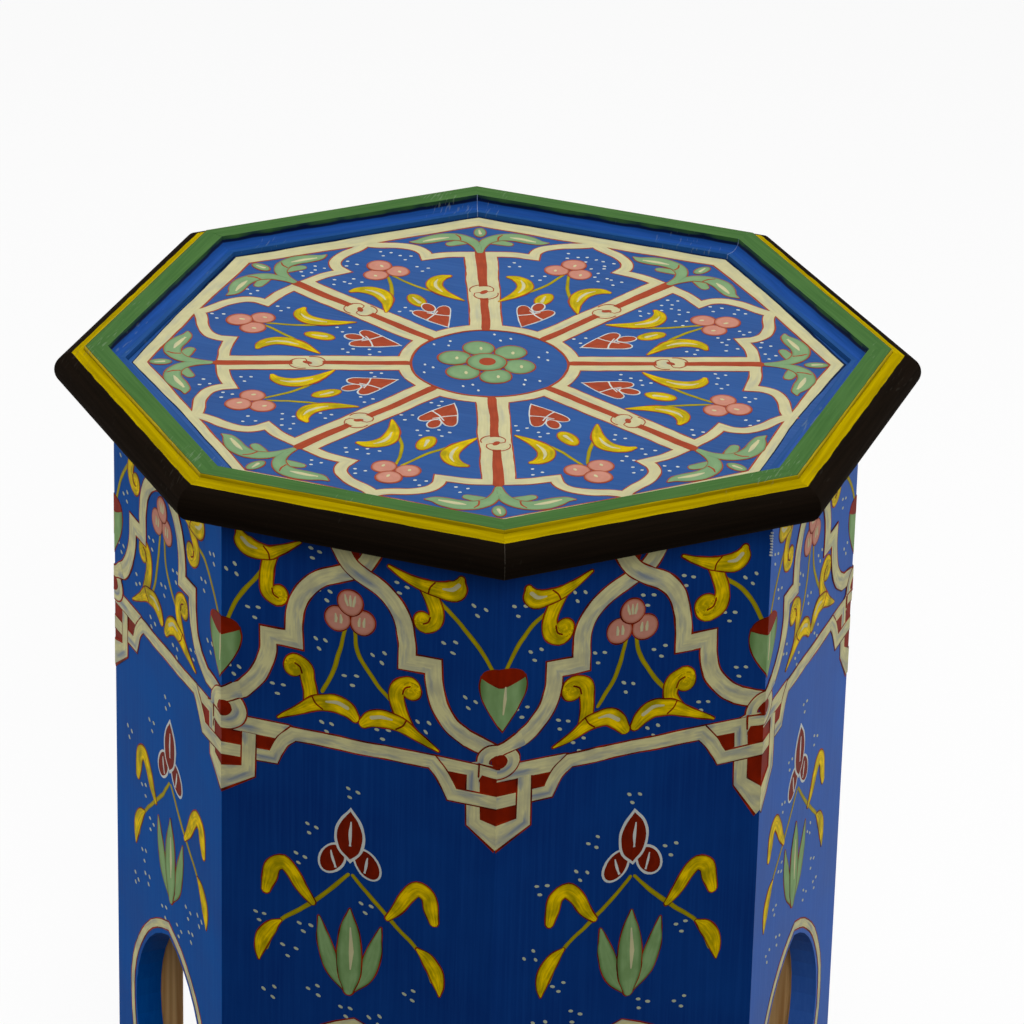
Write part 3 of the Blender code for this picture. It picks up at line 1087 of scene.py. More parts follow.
    def paint_spoke(self, sheet: Sheet, place: Matrix, knot: float) -> None:
        """Draws one spoke's red strip and the knot where its cream bands cross.

        Args:
            sheet: the face that takes it.
            place: turns it to its corner of the top.
            knot: how far the knot lies from the table's middle, in millimetres.
        """
        for lower, upper, start, end in ((41.5, knot - 6.5, 2.3, 2.0), (knot + 6.5, 134.8, 2.1, 2.8)):
            sheet.stroke(curve(((0, lower, start), (0, upper, end)), 5), Paint.BRICK, 3, place)
        sheet.disc((0, knot), (6.4, 7.2), Paint.CREAM, 4, place)
        sheet.disc((0, knot), (1.5, 2.6), Paint.BRICK, 6, place, tilt=-35, sides=12)
        around = Matrix.Translation((0, 2 * knot, 0)) @ Matrix.Rotation(math.pi, 4, "Z")
        for side in (place, place @ around):
            hook = arc((-0.9, knot + 2.4), 6.2, 195, 15)
            hook += [(4.6, knot + 1.2), (2.6, knot + 0.4), (1.0, knot + 0.6)]
            sheet.stroke(weighted(hook, 0.28), Paint.BRICK, 5, side)

    def paint_corner(self, sheet: Sheet, place: Matrix) -> None:
        """Draws the pair of curling leaves and the bud between a spoke's end and the corner.

        Args:
            sheet: the face that takes it.
            place: turns it to its corner of the top.
        """
        for side in (place, place @ MIRROR):
            leaf = ((0.4, 138, 1.2), (1.2, 145, 2.2), (4.4, 152.2, 3.2), (11, 156.6, 4.0), (19, 156.6, 4.6),
                    (26, 153.4, 4.2), (31.4, 150.6, 2.6), (35.6, 150.4, 0.5))
            lobe = ((6.5, 151, 2.2), (10.5, 150.2, 2.9), (15.2, 148.2, 2.4))
            sheet.stroke(curve(lobe), Paint.SAGE, 2, side, Paint.BRICK, 0.5)
            sheet.stroke(curve(leaf), Paint.SAGE, 4, side, Paint.BRICK, 0.5)
            sheet.stroke(curve(((12.4, 160, 0.3), (10.2, 156.6, 0.5), (9.8, 152.6, 0.3))), Paint.BRICK, 5,
                         side)
            shine = ((16, 156.4, 0.3), (20.5, 155, 1.2), (26, 152.6, 1.0), (29.5, 151, 0.3))
            sheet.stroke(curve(shine), Paint.CREAM, 5, side)
        sheet.disc((0.6, 163.2), (3.0, 5.6), Paint.SAGE, 4, place, edge=Paint.BRICK, edge_width=0.5)
        sheet.stroke(((0.2, 166, 0.4), (0.8, 161.5, 0.9)), Paint.CREAM, 5, place)

    def paint_rosette(self, sheet: Sheet) -> None:
        """Draws the disc's outline and the six-petalled rosette with its dots.

        Args:
            sheet: the face that takes it.
        """
        place = Matrix.Rotation(SECTOR / 2, 4, "Z") @ Matrix.Translation((-1.2, 1.2, 0))
        sheet.stroke(weighted(arc((0, 0), self.disc - 0.2, 0, 353), 0.5), Paint.BRICK, 4, closed=True)
        for i in range(6):
            a = math.radians(103 - 60 * i)
            middle = (16.8 * math.cos(a), 16.8 * math.sin(a))
            sheet.disc(middle, (7.8, 7.8), Paint.SAGE, 2 + 2 * (i % 2), place, edge=Paint.BRICK,
                       edge_width=0.7)
            sheet.disc((middle[0] + 1.2, middle[1] - 0.6), (0.8, 1.7), Paint.CREAM, 5, place, sides=10)
            for spread, reach in ((22, 30.5), (38, 33), (30, 27)):
                b = a + math.radians(spread)
                spot = place @ Vector((reach * math.cos(b), reach * math.sin(b), 0))
                sheet.disc((spot.x, spot.y), (self.dot, self.dot * 1.5), Paint.CHALK, 0, tilt=35, sides=10)
        sheet.disc((0, 0), (9.6, 9.6), Paint.SAGE, 6, place, edge=Paint.BRICK, edge_width=0.8, sides=30)
        sheet.disc((0.2, 0.1), (4.3, 4.3), Paint.BRICK, 7, place)


@dataclass(frozen=True)
class HalfDrift:
    """How one half of a side board's drawing strays from the plan, in millimetres outwards and up.

    The arch's shoulder; the upper leaf, its inner tip and the roll at the end of its curl; the
    lower leaf, the hang of its lobe and its roll. A roll has its radius too. The pendant has the
    heights of its corner and its tip, and the tulip at the edge strays to the right. Then come
    the hang of the upper leaf's lobe and the outer tip of the lower leaf, and last how many
    times as large as the plan the knot at the edge is.
    """

    arch: float = 2.0
    leaf: Point = (4.0, -0.8)
    tip: Point = (3.0, 1.0)
    roll: Knot = (0.0, -1.0, 4.6)
    low_leaf: Point = (0.0, 1.0)
    low_hang: float = -2.0
    low_roll: Knot = (2.0, 0.0, 4.8)
    pendant: Point = (-168.0, -176.0)
    tulip: float = 2.0
    hang: float = -1.5
    low_tip: Point = (0.0, 0.0)
    knot: float = 1.0


@dataclass(frozen=True)
class BoardDrift:
    """One side board's own hand: its halves, how far flower, crown and spray stray, and its dots."""

    left: HalfDrift = HalfDrift()
    right: HalfDrift = HalfDrift()
    flower: Point = (-0.8, 0.0)
    crown: float = 0.0
    spray: float = 0.0
    dots: tuple[Point, ...] = (
        (-26, -44), (-63, -53), (-55, -76), (-19, -58), (-20, -85), (-62, -108), (-40, -116), (-4, -103),
        (-20, -130), (24, -50), (61, -55), (49, -75), (12, -88), (57, -105), (35, -121), (12, -130),
        (-1, -166), (-22, -189), (20, -196),
    )


DRIFTS = {
    0: BoardDrift(
        left=HalfDrift(4.6, (6, 0), (0, 0), (1.6, -0.4, 4.8), (-1.5, 4), -3.0, (3, 1.2, 5.4),
                       (-171, -183), 2.0, -1.5, (-1.8, 4)),
        right=HalfDrift(-2.2, (0, 0), (0, 0), (0, 0, 4.8), (1, 4), -3.0, (-1.2, 0, 5.8),
                        (-166, -176), 1.0, -1.5, (-0.8, 4)),
        flower=(-3.3, 1.5), spray=-7.0,
    ),
    4: BoardDrift(right=HalfDrift(pendant=(-165.0, -171.0))),
    5: BoardDrift(
        left=HalfDrift(7.6, (8, 1), (0, 0), (0.4, 0.2, 4.8), (4.5, 4.5), -3.0, (4.7, 6.2, 5.4),
                       (-164, -171), -1.0, -1.5, (5.2, 2)),
        right=HalfDrift(-2.9, (-4, -5), (0, 0), (3.3, 2.6, 4.8), (-3.5, 2.5), -4.0, (-3.7, 0.3, 5.2),
                        (-163, -169.8), -2.0, -0.5, (-1.6, 2.2), 1.15),
        flower=(-6.0, 1.8), spray=3.3,
    ),
    6: BoardDrift(
        left=HalfDrift(9.3, (10.8, 1.8), (5.2, 2.2), (-2.2, -1.9, 4.4), (-0.5, 3.0), -1.2, (7.2, 0.3, 4.8),
                       (-164.5, -169.8), -2.0, 0.0, (0.6, 0.6), 1.15),
        right=HalfDrift(0.3, (0, 0), (0, 0), (0, 0, 4.4), (0, 0), 0.0, (0, 0, 4.8),
                        (-167, -173), 2.2, -1.5),
        flower=(-5.0, 1.8), crown=0.6, spray=-3.6,
        dots=((-23.3, -37.5), (-65.8, -54.7), (-55.3, -75), (-17.5, -58.7), (-20.5, -85), (-65, -109),
              (-42, -114.3), (-4, -102.2), (-17.2, -130.3), (21.5, -47.5), (60.2, -51.7), (47.3, -73.5),
              (10.8, -87.3), (56.8, -102), (33.7, -119.2), (12.7, -128.5), (-3.2, -164.7), (-24.3, -189),
              (12, -198)),
    ),
    7: BoardDrift(
        left=HalfDrift(4.6, (6, -1.8), (3.2, 1.8), (-0.1, -1.6, 5.2), (1, 1.4), -4.5, (6, 1.5, 5.2),
                       (-167.6, -173), 2.2, -2.6, (1, 2.2)),
        right=HalfDrift(1.5, (6, -2.4), (3, 0.8), (-0.9, -3, 5.8), (-1, 1), -3.4, (1, -5.5, 5.4),
                        (-170.8, -183), 2.0, -2.6, (3.6, 0)),
        flower=(-2.0, -1.2), crown=2.2, spray=2.8,
        dots=((-61.7, -51.2), (-31, -49.7), (-53.3, -76.2), (-19.3, -84.2), (6.3, -58.2), (-59.2, -106.7),
              (-38, -117.3), (-3.5, -104.2), (13.5, -88.2), (26.8, -52.3), (61.3, -58.2), (51, -76.5),
              (57, -107.7), (37.5, -123), (-29, -130.3), (11.3, -131), (2.3, -166.8), (-18.7, -188),
              (23.7, -199.8)),
    ),
}


@dataclass
class SideOrnament:
    """Painting of one side board, in millimetres from its middle line and down from the rim's land.

    Bands of cream interlace into an arch with knots at the board's edges, which the next board
    completes; a spray of flowers hangs below.
    """

    index: int
    drift: BoardDrift = BoardDrift()
    band: float = 4.2
    ring: float = 2.9
    strap: float = 3.4
    edge_line: float = 0.8
    level: float = -130.6
    dot: float = 0.78
    dot_clear: float = 1.6
    low_field: tuple[Point, Point] = ((-46, -286), (46, -206))
    low_step: float = 20.0
    low_clear: float = 4.6
    trim: float = 0.3
    worn_board: int = 7
    materials: dict[Paint, bpy.types.Material] = field(default_factory=dict)
    reach: float = 0.0

    def build(self) -> bpy.types.Object:
        """Paints one side board.

        Returns:
            The painting.
        """
        angle = SECTOR * self.index
        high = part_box("side_panel_1")[1]
        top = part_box("rim_rail_1")[1][2]
        out = Vector((math.cos(angle), math.sin(angle), 0))
        right = Vector((-out.y, out.x, 0))
        axes = Matrix((right, (0, 0, 1), out)).transposed().to_4x4()
        ground = Matrix.Translation(out * high[0] + Vector((0, 0, top))) @ axes @ Matrix.Scale(MM, 4)
        self.reach = high[0] * math.tan(SECTOR / 2) / MM
        sheet = Sheet(f"side_painting_{self.index + 1}", ground, seed=11.0 + 5.3 * self.index, slant=-26.0,
                      dots=Paint.BONE, length=1.75, reach=self.reach)
        self.paint_pendants(sheet)
        self.paint_arch(sheet)
        self.paint_knots(sheet)
        self.paint_arch_spray(sheet)
        self.paint_spandrels(sheet)
        self.paint_tulips(sheet)
        self.paint_low_spray(sheet)
        self.paint_foot(sheet, top / MM)
        if self.index == self.worn_board:
            self.wear_edge(sheet)
        sheet.scatter(self.drift.dots, self.dot, self.dot_clear)
        sheet.scatter(sheet.strewn(*self.low_field, self.low_step), self.dot, self.low_clear)
        head = (high[2] - top) / MM - self.trim
        # The next board's painting is cut along the same mitre, so the two meet at every coat.
        across, outward = math.cos(SECTOR / 2), -math.sin(SECTOR / 2)
        cuts = (((self.reach, 0), (across, 0, outward)), ((-self.reach, 0), (-across, 0, outward)),
                ((0, head), (0, 1, 0)))
        return sheet.piece(cuts, self.materials)

    def cream(self, sheet: Sheet, path: Sequence[Point], layer: int, place: Matrix = HAND,
              half: float | None = None, joined: int = 0, square: bool = False,
              slim: tuple[float, int] | None = None) -> None:
        """Draws one cream band with its red outlines.

        Args:
            sheet: the face that takes it.
            path: points along the band's middle.
            layer: its coat; the outlines lie one lower.
            place: moves it on the face.
            half: half the band's width, where it isn't the usual one.
            joined: how many points the outline starts late, where the band goes on from another.
            square: whether its ends are cut straight instead of rounded.
            slim: the half width that it narrows to, and the point where it starts to.
        """
        width = half or self.band
        ends, start = slim or (width, 0)
        halves = [width + (ends - width) * min(1, max(0, (i - start) / 6)) for i in range(len(path))]
        body = [(x, y, wide) for (x, y), wide in zip(path, halves)]
        line = [(x, y, wide + self.edge_line) for x, y, wide in body[joined:]]
        sheet.stroke(line, Paint.LINE, layer - 1, place, square=square)
        sheet.stroke(body, Paint.MILK, layer, place, square=square)

    def arch_path(self, out: float, crown: float) -> list[Point]:
        """Follows one band of the arch from under the rim down to the knot at the right edge.

        Args:
            out: how far the arch's shoulder stands out from the plan.
            crown: how far the crossing under the rim does.

        Returns:
            Points along the band's middle.
        """
        upper = ((-15, -23), (-10.5, -32.5), (-5, -40.5), (2.5, -46), (10.5, -50.5), (17.6, -57.2),
                 (22.3, -66), (24.1, -76), (24.2, -86.7))
        flank = [(38 + out, -86.7), (38.3 + out, -96.5), (41.2 + 1.12 * out, -107.7),
                 (47.6 + 1.12 * out, -116.5), (self.reach - 16 + 0.6 * out, self.level + 8.6 + 0.25 * out)]
        arched = []
        for x, y in upper:
            share = min(1, max(0.5, (-36 - y) / 12))
            arched.append((x + out * share + crown * min(1, max(0, (y + 66) / 16)), y))
        return [*curve(arched), *curve((arched[-1], flank[0]))[1:], *curve(flank)[1:]]

    def paint_arch(self, sheet: Sheet) -> None:
        """Draws the two bands that cross under the rim and run down to the knots at the edges.

        Args:
            sheet: the face that takes it.
        """
        left, right, crown = self.drift.left, self.drift.right, self.drift.crown
        self.cream(sheet, self.arch_path(left.arch, -crown), 6, MIRROR)
        ring = ((-8.5, 6.6), (-1, 5.1), (5.2, 3.6), (8.2, -0.2), (7.2, -4.4), (3.6, -6.9), (-1.5, -7.2),
                (-5.5, -6.8), (-8.6, -6.7))
        upper = self.arch_path(right.arch, crown)
        for edge, half, before in ((self.reach, right, upper), (-self.reach, left, [])):
            turn = [(edge + half.knot * x, self.level + half.knot * y) for x, y in ring]
            band = [*before, *curve((*before[-1:], *turn))[min(1, len(before)):]]
            slim = (self.ring * (2 * half.knot - 1), len(before) and len(before) + 4)
            self.cream(sheet, band, 8, square=True, slim=slim)
        sheet.disc((crown - 3.4, -34.5), (2.2, 4.0), Paint.RUST, 5, tilt=-25)

    def paint_knots(self, sheet: Sheet) -> None:
        """Draws the hook that closes each knot over the others, and the red eye in its middle.

        Args:
            sheet: the face that takes it.
        """
        after = DRIFTS.get((self.index + 1) % SECTORS, BoardDrift()).left
        for edge, half in ((self.reach, after), (-self.reach, self.drift.left)):
            out, knot = half.arch, half.knot
            hook = [(edge + 16 - 0.6 * out, self.level + 8.6 + 0.25 * out)]
            for x, y in ((9 - 0.25 * out, 6.8 + 0.2 * out), (2.4, 5.4 + 0.08 * out), (-3, 4.2), (-6.2, 1.0),
                         (-6.9, -1.6), (-6.9, -3.6)):
                hook.append((edge + knot * x, self.level + knot * y))
            slim = (self.ring * (2 * knot - 1), 1)
            self.cream(sheet, curve(hook), 10, joined=2, square=True, slim=slim)
            sheet.disc((edge + 1.2, self.level - 0.9), (3.9 * knot, 3.8 * knot), Paint.RUST, 11)
            for line in (((-9, -3.6), (-4, -3.9), (1, -4.9)), ((-8.8, -3.4), (-8.9, -10.6))):
                sheet.stroke(moved(weighted(curve(line), 0.45), edge, self.level), Paint.LINE, 12)

    def paint_pendants(self, sheet: Sheet) -> None:
        """Draws the level band, its links to the knots and the stepped pendants under them.

        Args:
            sheet: the face that takes it.
        """
        edge, low, top = self.reach, -153.6, -138.5
        for place, half, post in ((MIRROR, self.drift.left, 57.4), (HAND, self.drift.right, 60.4)):
            corner, tip = half.pendant
            red = [(edge + 2, -140), (post - 15, -140), (post - 10, low), (post, low), (post, corner),
                   (edge + 2, tip + 5)]
            sheet.shape(red, Paint.RUST, 0, place)
            fall = (edge + 3, tip + 3 * (tip - corner) / (edge - post))
            if place is MIRROR:
                self.cream(sheet, [(post, -142.6), (post, corner), fall], 6, place, self.strap, square=True)
                self.cream(sheet, [(36, top), (edge + 2, top)], 2, place)
            else:
                self.cream(sheet, [(38, top), (59.6, top), (59.8, low), (post, corner), fall], 2,
                           half=self.strap, square=True)
        level = [(-edge - 2, low - 0.5), *curve(((-44, low), (-39.8, -144.6), (-33.5, top)))]
        level += curve(((-33.5, top), (38, top)), 5)[1:]
        level += [*curve(((38, top), (43.4, -144.8), (49, low - 1)))[1:], (edge + 2, low - 0.5)]
        self.cream(sheet, level, 4, half=self.strap)

    def curl_leaf(self, sheet: Sheet, crescent: Sequence[Knot], roll: Knot, hang: int,
                  place: Matrix) -> None:
        """Draws one yellow leaf: a crescent from a point to a round lobe, and a curl from its middle.

        Args:
            sheet: the face that takes it.
            crescent: knots of the crescent, from its point to the end of its lobe.
            roll: the middle and the radius of the rolled end of the curl.
            hang: 1 where the curl hangs from the crescent, -1 where it stands on it.
            place: moves it on the face.
        """
        joint, (x, y, r) = Vector(crescent[3][:2]), roll
        bend = ((r + 2.7, r + 0.2, 3.6), (r + 1.2, -0.2 * r, 0.8 * r), (0.28 * r, -0.92 * r, 0.6 * r),
                (-0.38 * r, -0.7 * r, 0.46 * r), (-0.7 * r, -0.2 * r, 0.3 * r))
        turn = [(x + hang * a, y + hang * b, half) for a, b, half in bend]
        root = joint.lerp(Vector(crescent[2][:2]), 0.3)
        middle = ((root.x + turn[0][0]) / 2 + 0.6 * hang, (root.y + turn[0][1]) / 2)
        shank = [(*root, 3.5), (*middle, 3.5), *turn]
        sheet.stroke(curve(shank), Paint.CANARY, 2, place, Paint.LINE)
        sheet.disc((x, y), (r, r), Paint.CANARY, 2, place, edge=Paint.LINE)
        sheet.stroke(curve(crescent), Paint.CANARY, 4, place, Paint.LINE)
        rolled = ((0.9, 0.5), (0.68, -0.2), (0.15, -0.5))
        spiral = [(x + hang * a * r, y + hang * b * r, 0.4) for a, b in rolled]
        sheet.stroke(curve(spiral), Paint.LINE, 5, place)
        ahead = (Vector(crescent[4][:2]) - Vector(crescent[2][:2])).normalized()
        aside = Vector((-ahead.y, ahead.x)) * crescent[3][2]
        line = (joint - aside, joint + ahead * 0.3, joint + aside + ahead * 2.4)
        sheet.stroke(curve([(p.x, p.y, 0.4) for p in line]), Paint.LINE, 5, place)
        shine = [(a, b + 0.8, share * half) for (a, b, half), share in zip(crescent[4:7], (0.1, 0.2, 0.24))]
        sheet.stroke(curve(shine), Paint.CREAM, 5, place)

    def paint_arch_spray(self, sheet: Sheet) -> None:
        """Draws the flower inside the arch, its stems, and the two yellow leaves on them.

        Args:
            sheet: the face that takes it.
        """
        sway, rise = self.drift.flower
        plan = ((40.8, -132, 0.4), (35.8, -129.3, 1.4), (30, -126.1, 2.4), (23.3, -122.3, 3.8),
                (17.5, -120.9, 4.2), (11.7, -120.5, 4.6), (6.7, -121.6, 4.2), (2.9, -124.4, 2.6))
        for place, half, lean in ((MIRROR, self.drift.left, -sway), (HAND, self.drift.right, sway)):
            stem = ((2.6 + lean, rise - 77, 1.0), (5.2 + lean, -89, 1.2), (11 + lean / 2, -101, 1.2),
                    (19, -112, 1.1))
            sheet.stroke(curve(stem), Paint.OLIVE, 0, place)
            (out, up), (far, lift), turn = half.low_leaf, half.low_tip, half.low_roll
            crescent = []
            for i, (x, y, wide) in enumerate(plan):
                share, hang = min(1, 0.2 + 0.27 * i), max(0, (i - 5) / 2) * half.low_hang
                tip = max(0, 1 - 0.4 * i)
                crescent.append((x + out * share + far * tip, y + up * share + lift * tip + hang, wide))
            self.curl_leaf(sheet, crescent, (27 + turn[0], -102 + turn[1], turn[2]), -1, place)
            sheet.disc((6.6 + lean, rise - 72), (6.4, 6.5), Paint.ROSE, 2, place, edge=Paint.LINE)
            for x in (5.0, 7.6):
                dash = ((x, -69.2, 0.3), (x - 0.3, -71.8, 0.8), (x - 0.2, -74.2, 0.3))
                sheet.stroke(moved(dash, lean, rise), Paint.CREAM, 5, place)
        sheet.disc((sway, rise - 62.4), (6.2, 6.5), Paint.ROSE, 4, edge=Paint.LINE)
        for x in (-2.6, 0.0, 2.4):
            dash = ((x, -58.4, 0.25), (x * 0.8, -61.4, 0.75), (x * 0.5, -64.2, 0.25))
            sheet.stroke(moved(dash, sway, rise), Paint.CREAM, 5)

    def paint_spandrels(self, sheet: Sheet) -> None:
        """Draws the yellow leaves in the upper corners and the stems that carry them.

        Args:
            sheet: the face that takes it.
        """
        plan = ((15, -37.5, 0.6), (22.5, -40.8, 1.7), (30, -43.3, 2.7), (35.8, -44.4, 3.4),
                (42.5, -44, 4.4), (47, -42.6, 5.0), (50, -39.8, 4.4), (51.4, -36, 1.8))
        for place, half in ((MIRROR, self.drift.left), (HAND, self.drift.right)):
            (out, up), (far, rise), turn = half.leaf, half.tip, half.roll
            stem = ((68.5, -83, 1.1), (61.2 + 0.25 * out, -71.5, 1.2), (52.4 + 0.45 * out, -61.5, 1.2),
                    (41.7 + 0.7 * out, -52 + up, 1.2), (36.5 + out, -46 + up, 1.0))
            sheet.stroke(curve(stem), Paint.OLIVE, 0, place)
            crescent = []
            for i, (x, y, wide) in enumerate(plan):
                share, hang = max(0, 1 - 0.33 * i), min(1, max(0, (i - 3) / 2)) * half.hang
                crescent.append((x + out + far * share, y + up + rise * share + hang, wide))
            middle = (32.4 + out + turn[0], -62.9 + up + turn[1], turn[2])
            self.curl_leaf(sheet, crescent, middle, 1, place)

    def wear_edge(self, sheet: Sheet) -> None:
        """Rubs the paint off in short flecks along the upper right edge, down to the white priming.

        Args:
            sheet: the face that takes it.
        """
        for i in range(9):
            reach = 1.0 + 0.9 * noise.noise(Vector((i * 1.3, 2.7, self.index)))
            y = -35.5 - 1.5 * i
            sheet.stroke(((self.reach - reach, y, 0.3), (self.reach + 1, y - 0.5, 0.45)), Paint.CHALK, 12)

    def paint_tulips(self, sheet: Sheet) -> None:
        """Draws the part of each tulip that falls on this board, at its two edges.

        Args:
            sheet: the face that takes it.
        """
        right = curve(((0, -115), (6.2, -106.5), (10.6, -98.5), (12, -92), (11.2, -86.8)))
        brim = curve(((11.2, -87.2), (9.6, -84.4), (5.4, -82.4), (0, -81.9), (-5.4, -82.4), (-9.6, -84.4),
                      (-11.2, -87.2)))
        brim += curve(((-11.2, -87.2), (-6, -89.6), (0, -91.4), (6, -89.6), (11.2, -87.2)))[1:-1]
        for edge in (self.reach + self.drift.right.tulip, -self.reach + self.drift.left.tulip):
            cup = moved(right + flipped(right[1:]), edge, 0)
            sheet.shape(cup, Paint.FERN, 2, edge=Paint.LINE, edge_width=0.8)
            sheet.shape(moved(brim, edge, 0), Paint.RUST, 4, edge=Paint.LINE, edge_width=0.5)
            shine = ((1.2, -91.6, 0.4), (1.0, -98, 0.9), (0.2, -106, 0.4))
            sheet.stroke(moved(shine, edge, 0), Paint.CREAM, 5)

    def paint_low_spray(self, sheet: Sheet) -> None:
        """Draws the spray under the frieze: a red bud, yellow curls on stems and a green tulip.

        Args:
            sheet: the face that takes it.
        """
        along = Matrix.Translation((self.drift.spray, 0, 0))
        for place in (along, along @ MIRROR):
            sheet.disc((9.0, -203.6), (5.4, 8.2), Paint.MAROON, 2, place, tilt=32, edge=Paint.CHALK,
                       edge_width=1.2)
            sheet.stroke(curve(((9.4, -199.5, 0.3), (8.6, -204, 0.7), (7.4, -208.5, 0.3))), Paint.CHALK, 3,
                         place)
            stem = ((1.2, -211, 1.0), (11, -222, 1.2), (24, -234, 1.2), (37, -246, 1.1), (44, -262, 1.0))
            sheet.stroke(curve(stem), Paint.OLIVE, 0, place)
            cane = ((20, -231, 1.4), (25.5, -224, 3.0), (30, -216.5, 3.6), (35.5, -211.6, 3.8),
                    (41, -214.5, 3.8), (42.8, -221.5, 3.6), (44.5, -228, 2.4))
            sheet.stroke(curve(cane), Paint.CANARY, 2, place, Paint.LINE, 0.6)
            leaf = ((36.5, -245, 0.8), (41, -249, 3.2), (45.5, -256, 3.9), (47.5, -263.5, 2.6),
                    (48, -269, 0.4))
            sheet.stroke(curve(leaf), Paint.CANARY, 2, place, Paint.LINE, 0.6)
            petal = ((1.5, -276, 2.0), (8.5, -266, 4.2), (13, -253, 4.0), (15.4, -243, 1.8),
                     (16.5, -238, 0.4))
            sheet.stroke(curve(petal), Paint.FERN, 2, place, Paint.LINE, 0.6)
        bud = curve(((0, -175.4), (4.6, -181.5), (6.6, -189), (5.0, -197.4), (0, -202.6)))
        sheet.shape(bud + flipped(bud[1:-1]), Paint.MAROON, 4, along, Paint.CHALK, 1.4)
        sheet.stroke(curve(((0.4, -181, 0.3), (0.2, -188, 0.8), (0.4, -195, 0.3))), Paint.CHALK, 5, along)
        heart = ((0, -231, 0.4), (0, -242, 4.6), (0, -256, 6.4), (0, -268, 5.6), (0, -277, 2.6))
        sheet.stroke(curve(heart), Paint.FERN, 4, along, Paint.LINE)
        sheet.stroke(((0.6, -241, 0.4), (1.0, -254, 1.3), (0.6, -264, 0.4)), Paint.CREAM, 5, along)

    def paint_foot(self, sheet: Sheet, top: float) -> None:
        """Draws the cream line that follows the arch in the board's foot.

        Args:
            sheet: the face that takes it.
            top: how high the rim's land stands above the floor, in millimetres.
        """
        right = [(45.5, 4 - top), (45.5, 102 - top), (42.6, 110 - top), (42.6, 121 - top)]
        right += arc((-18, 158 - top), 69, -30, 74)[1:]
        self.cream(sheet, right + [(0, 225 - top)] + flipped(right), 2, half=2.0)


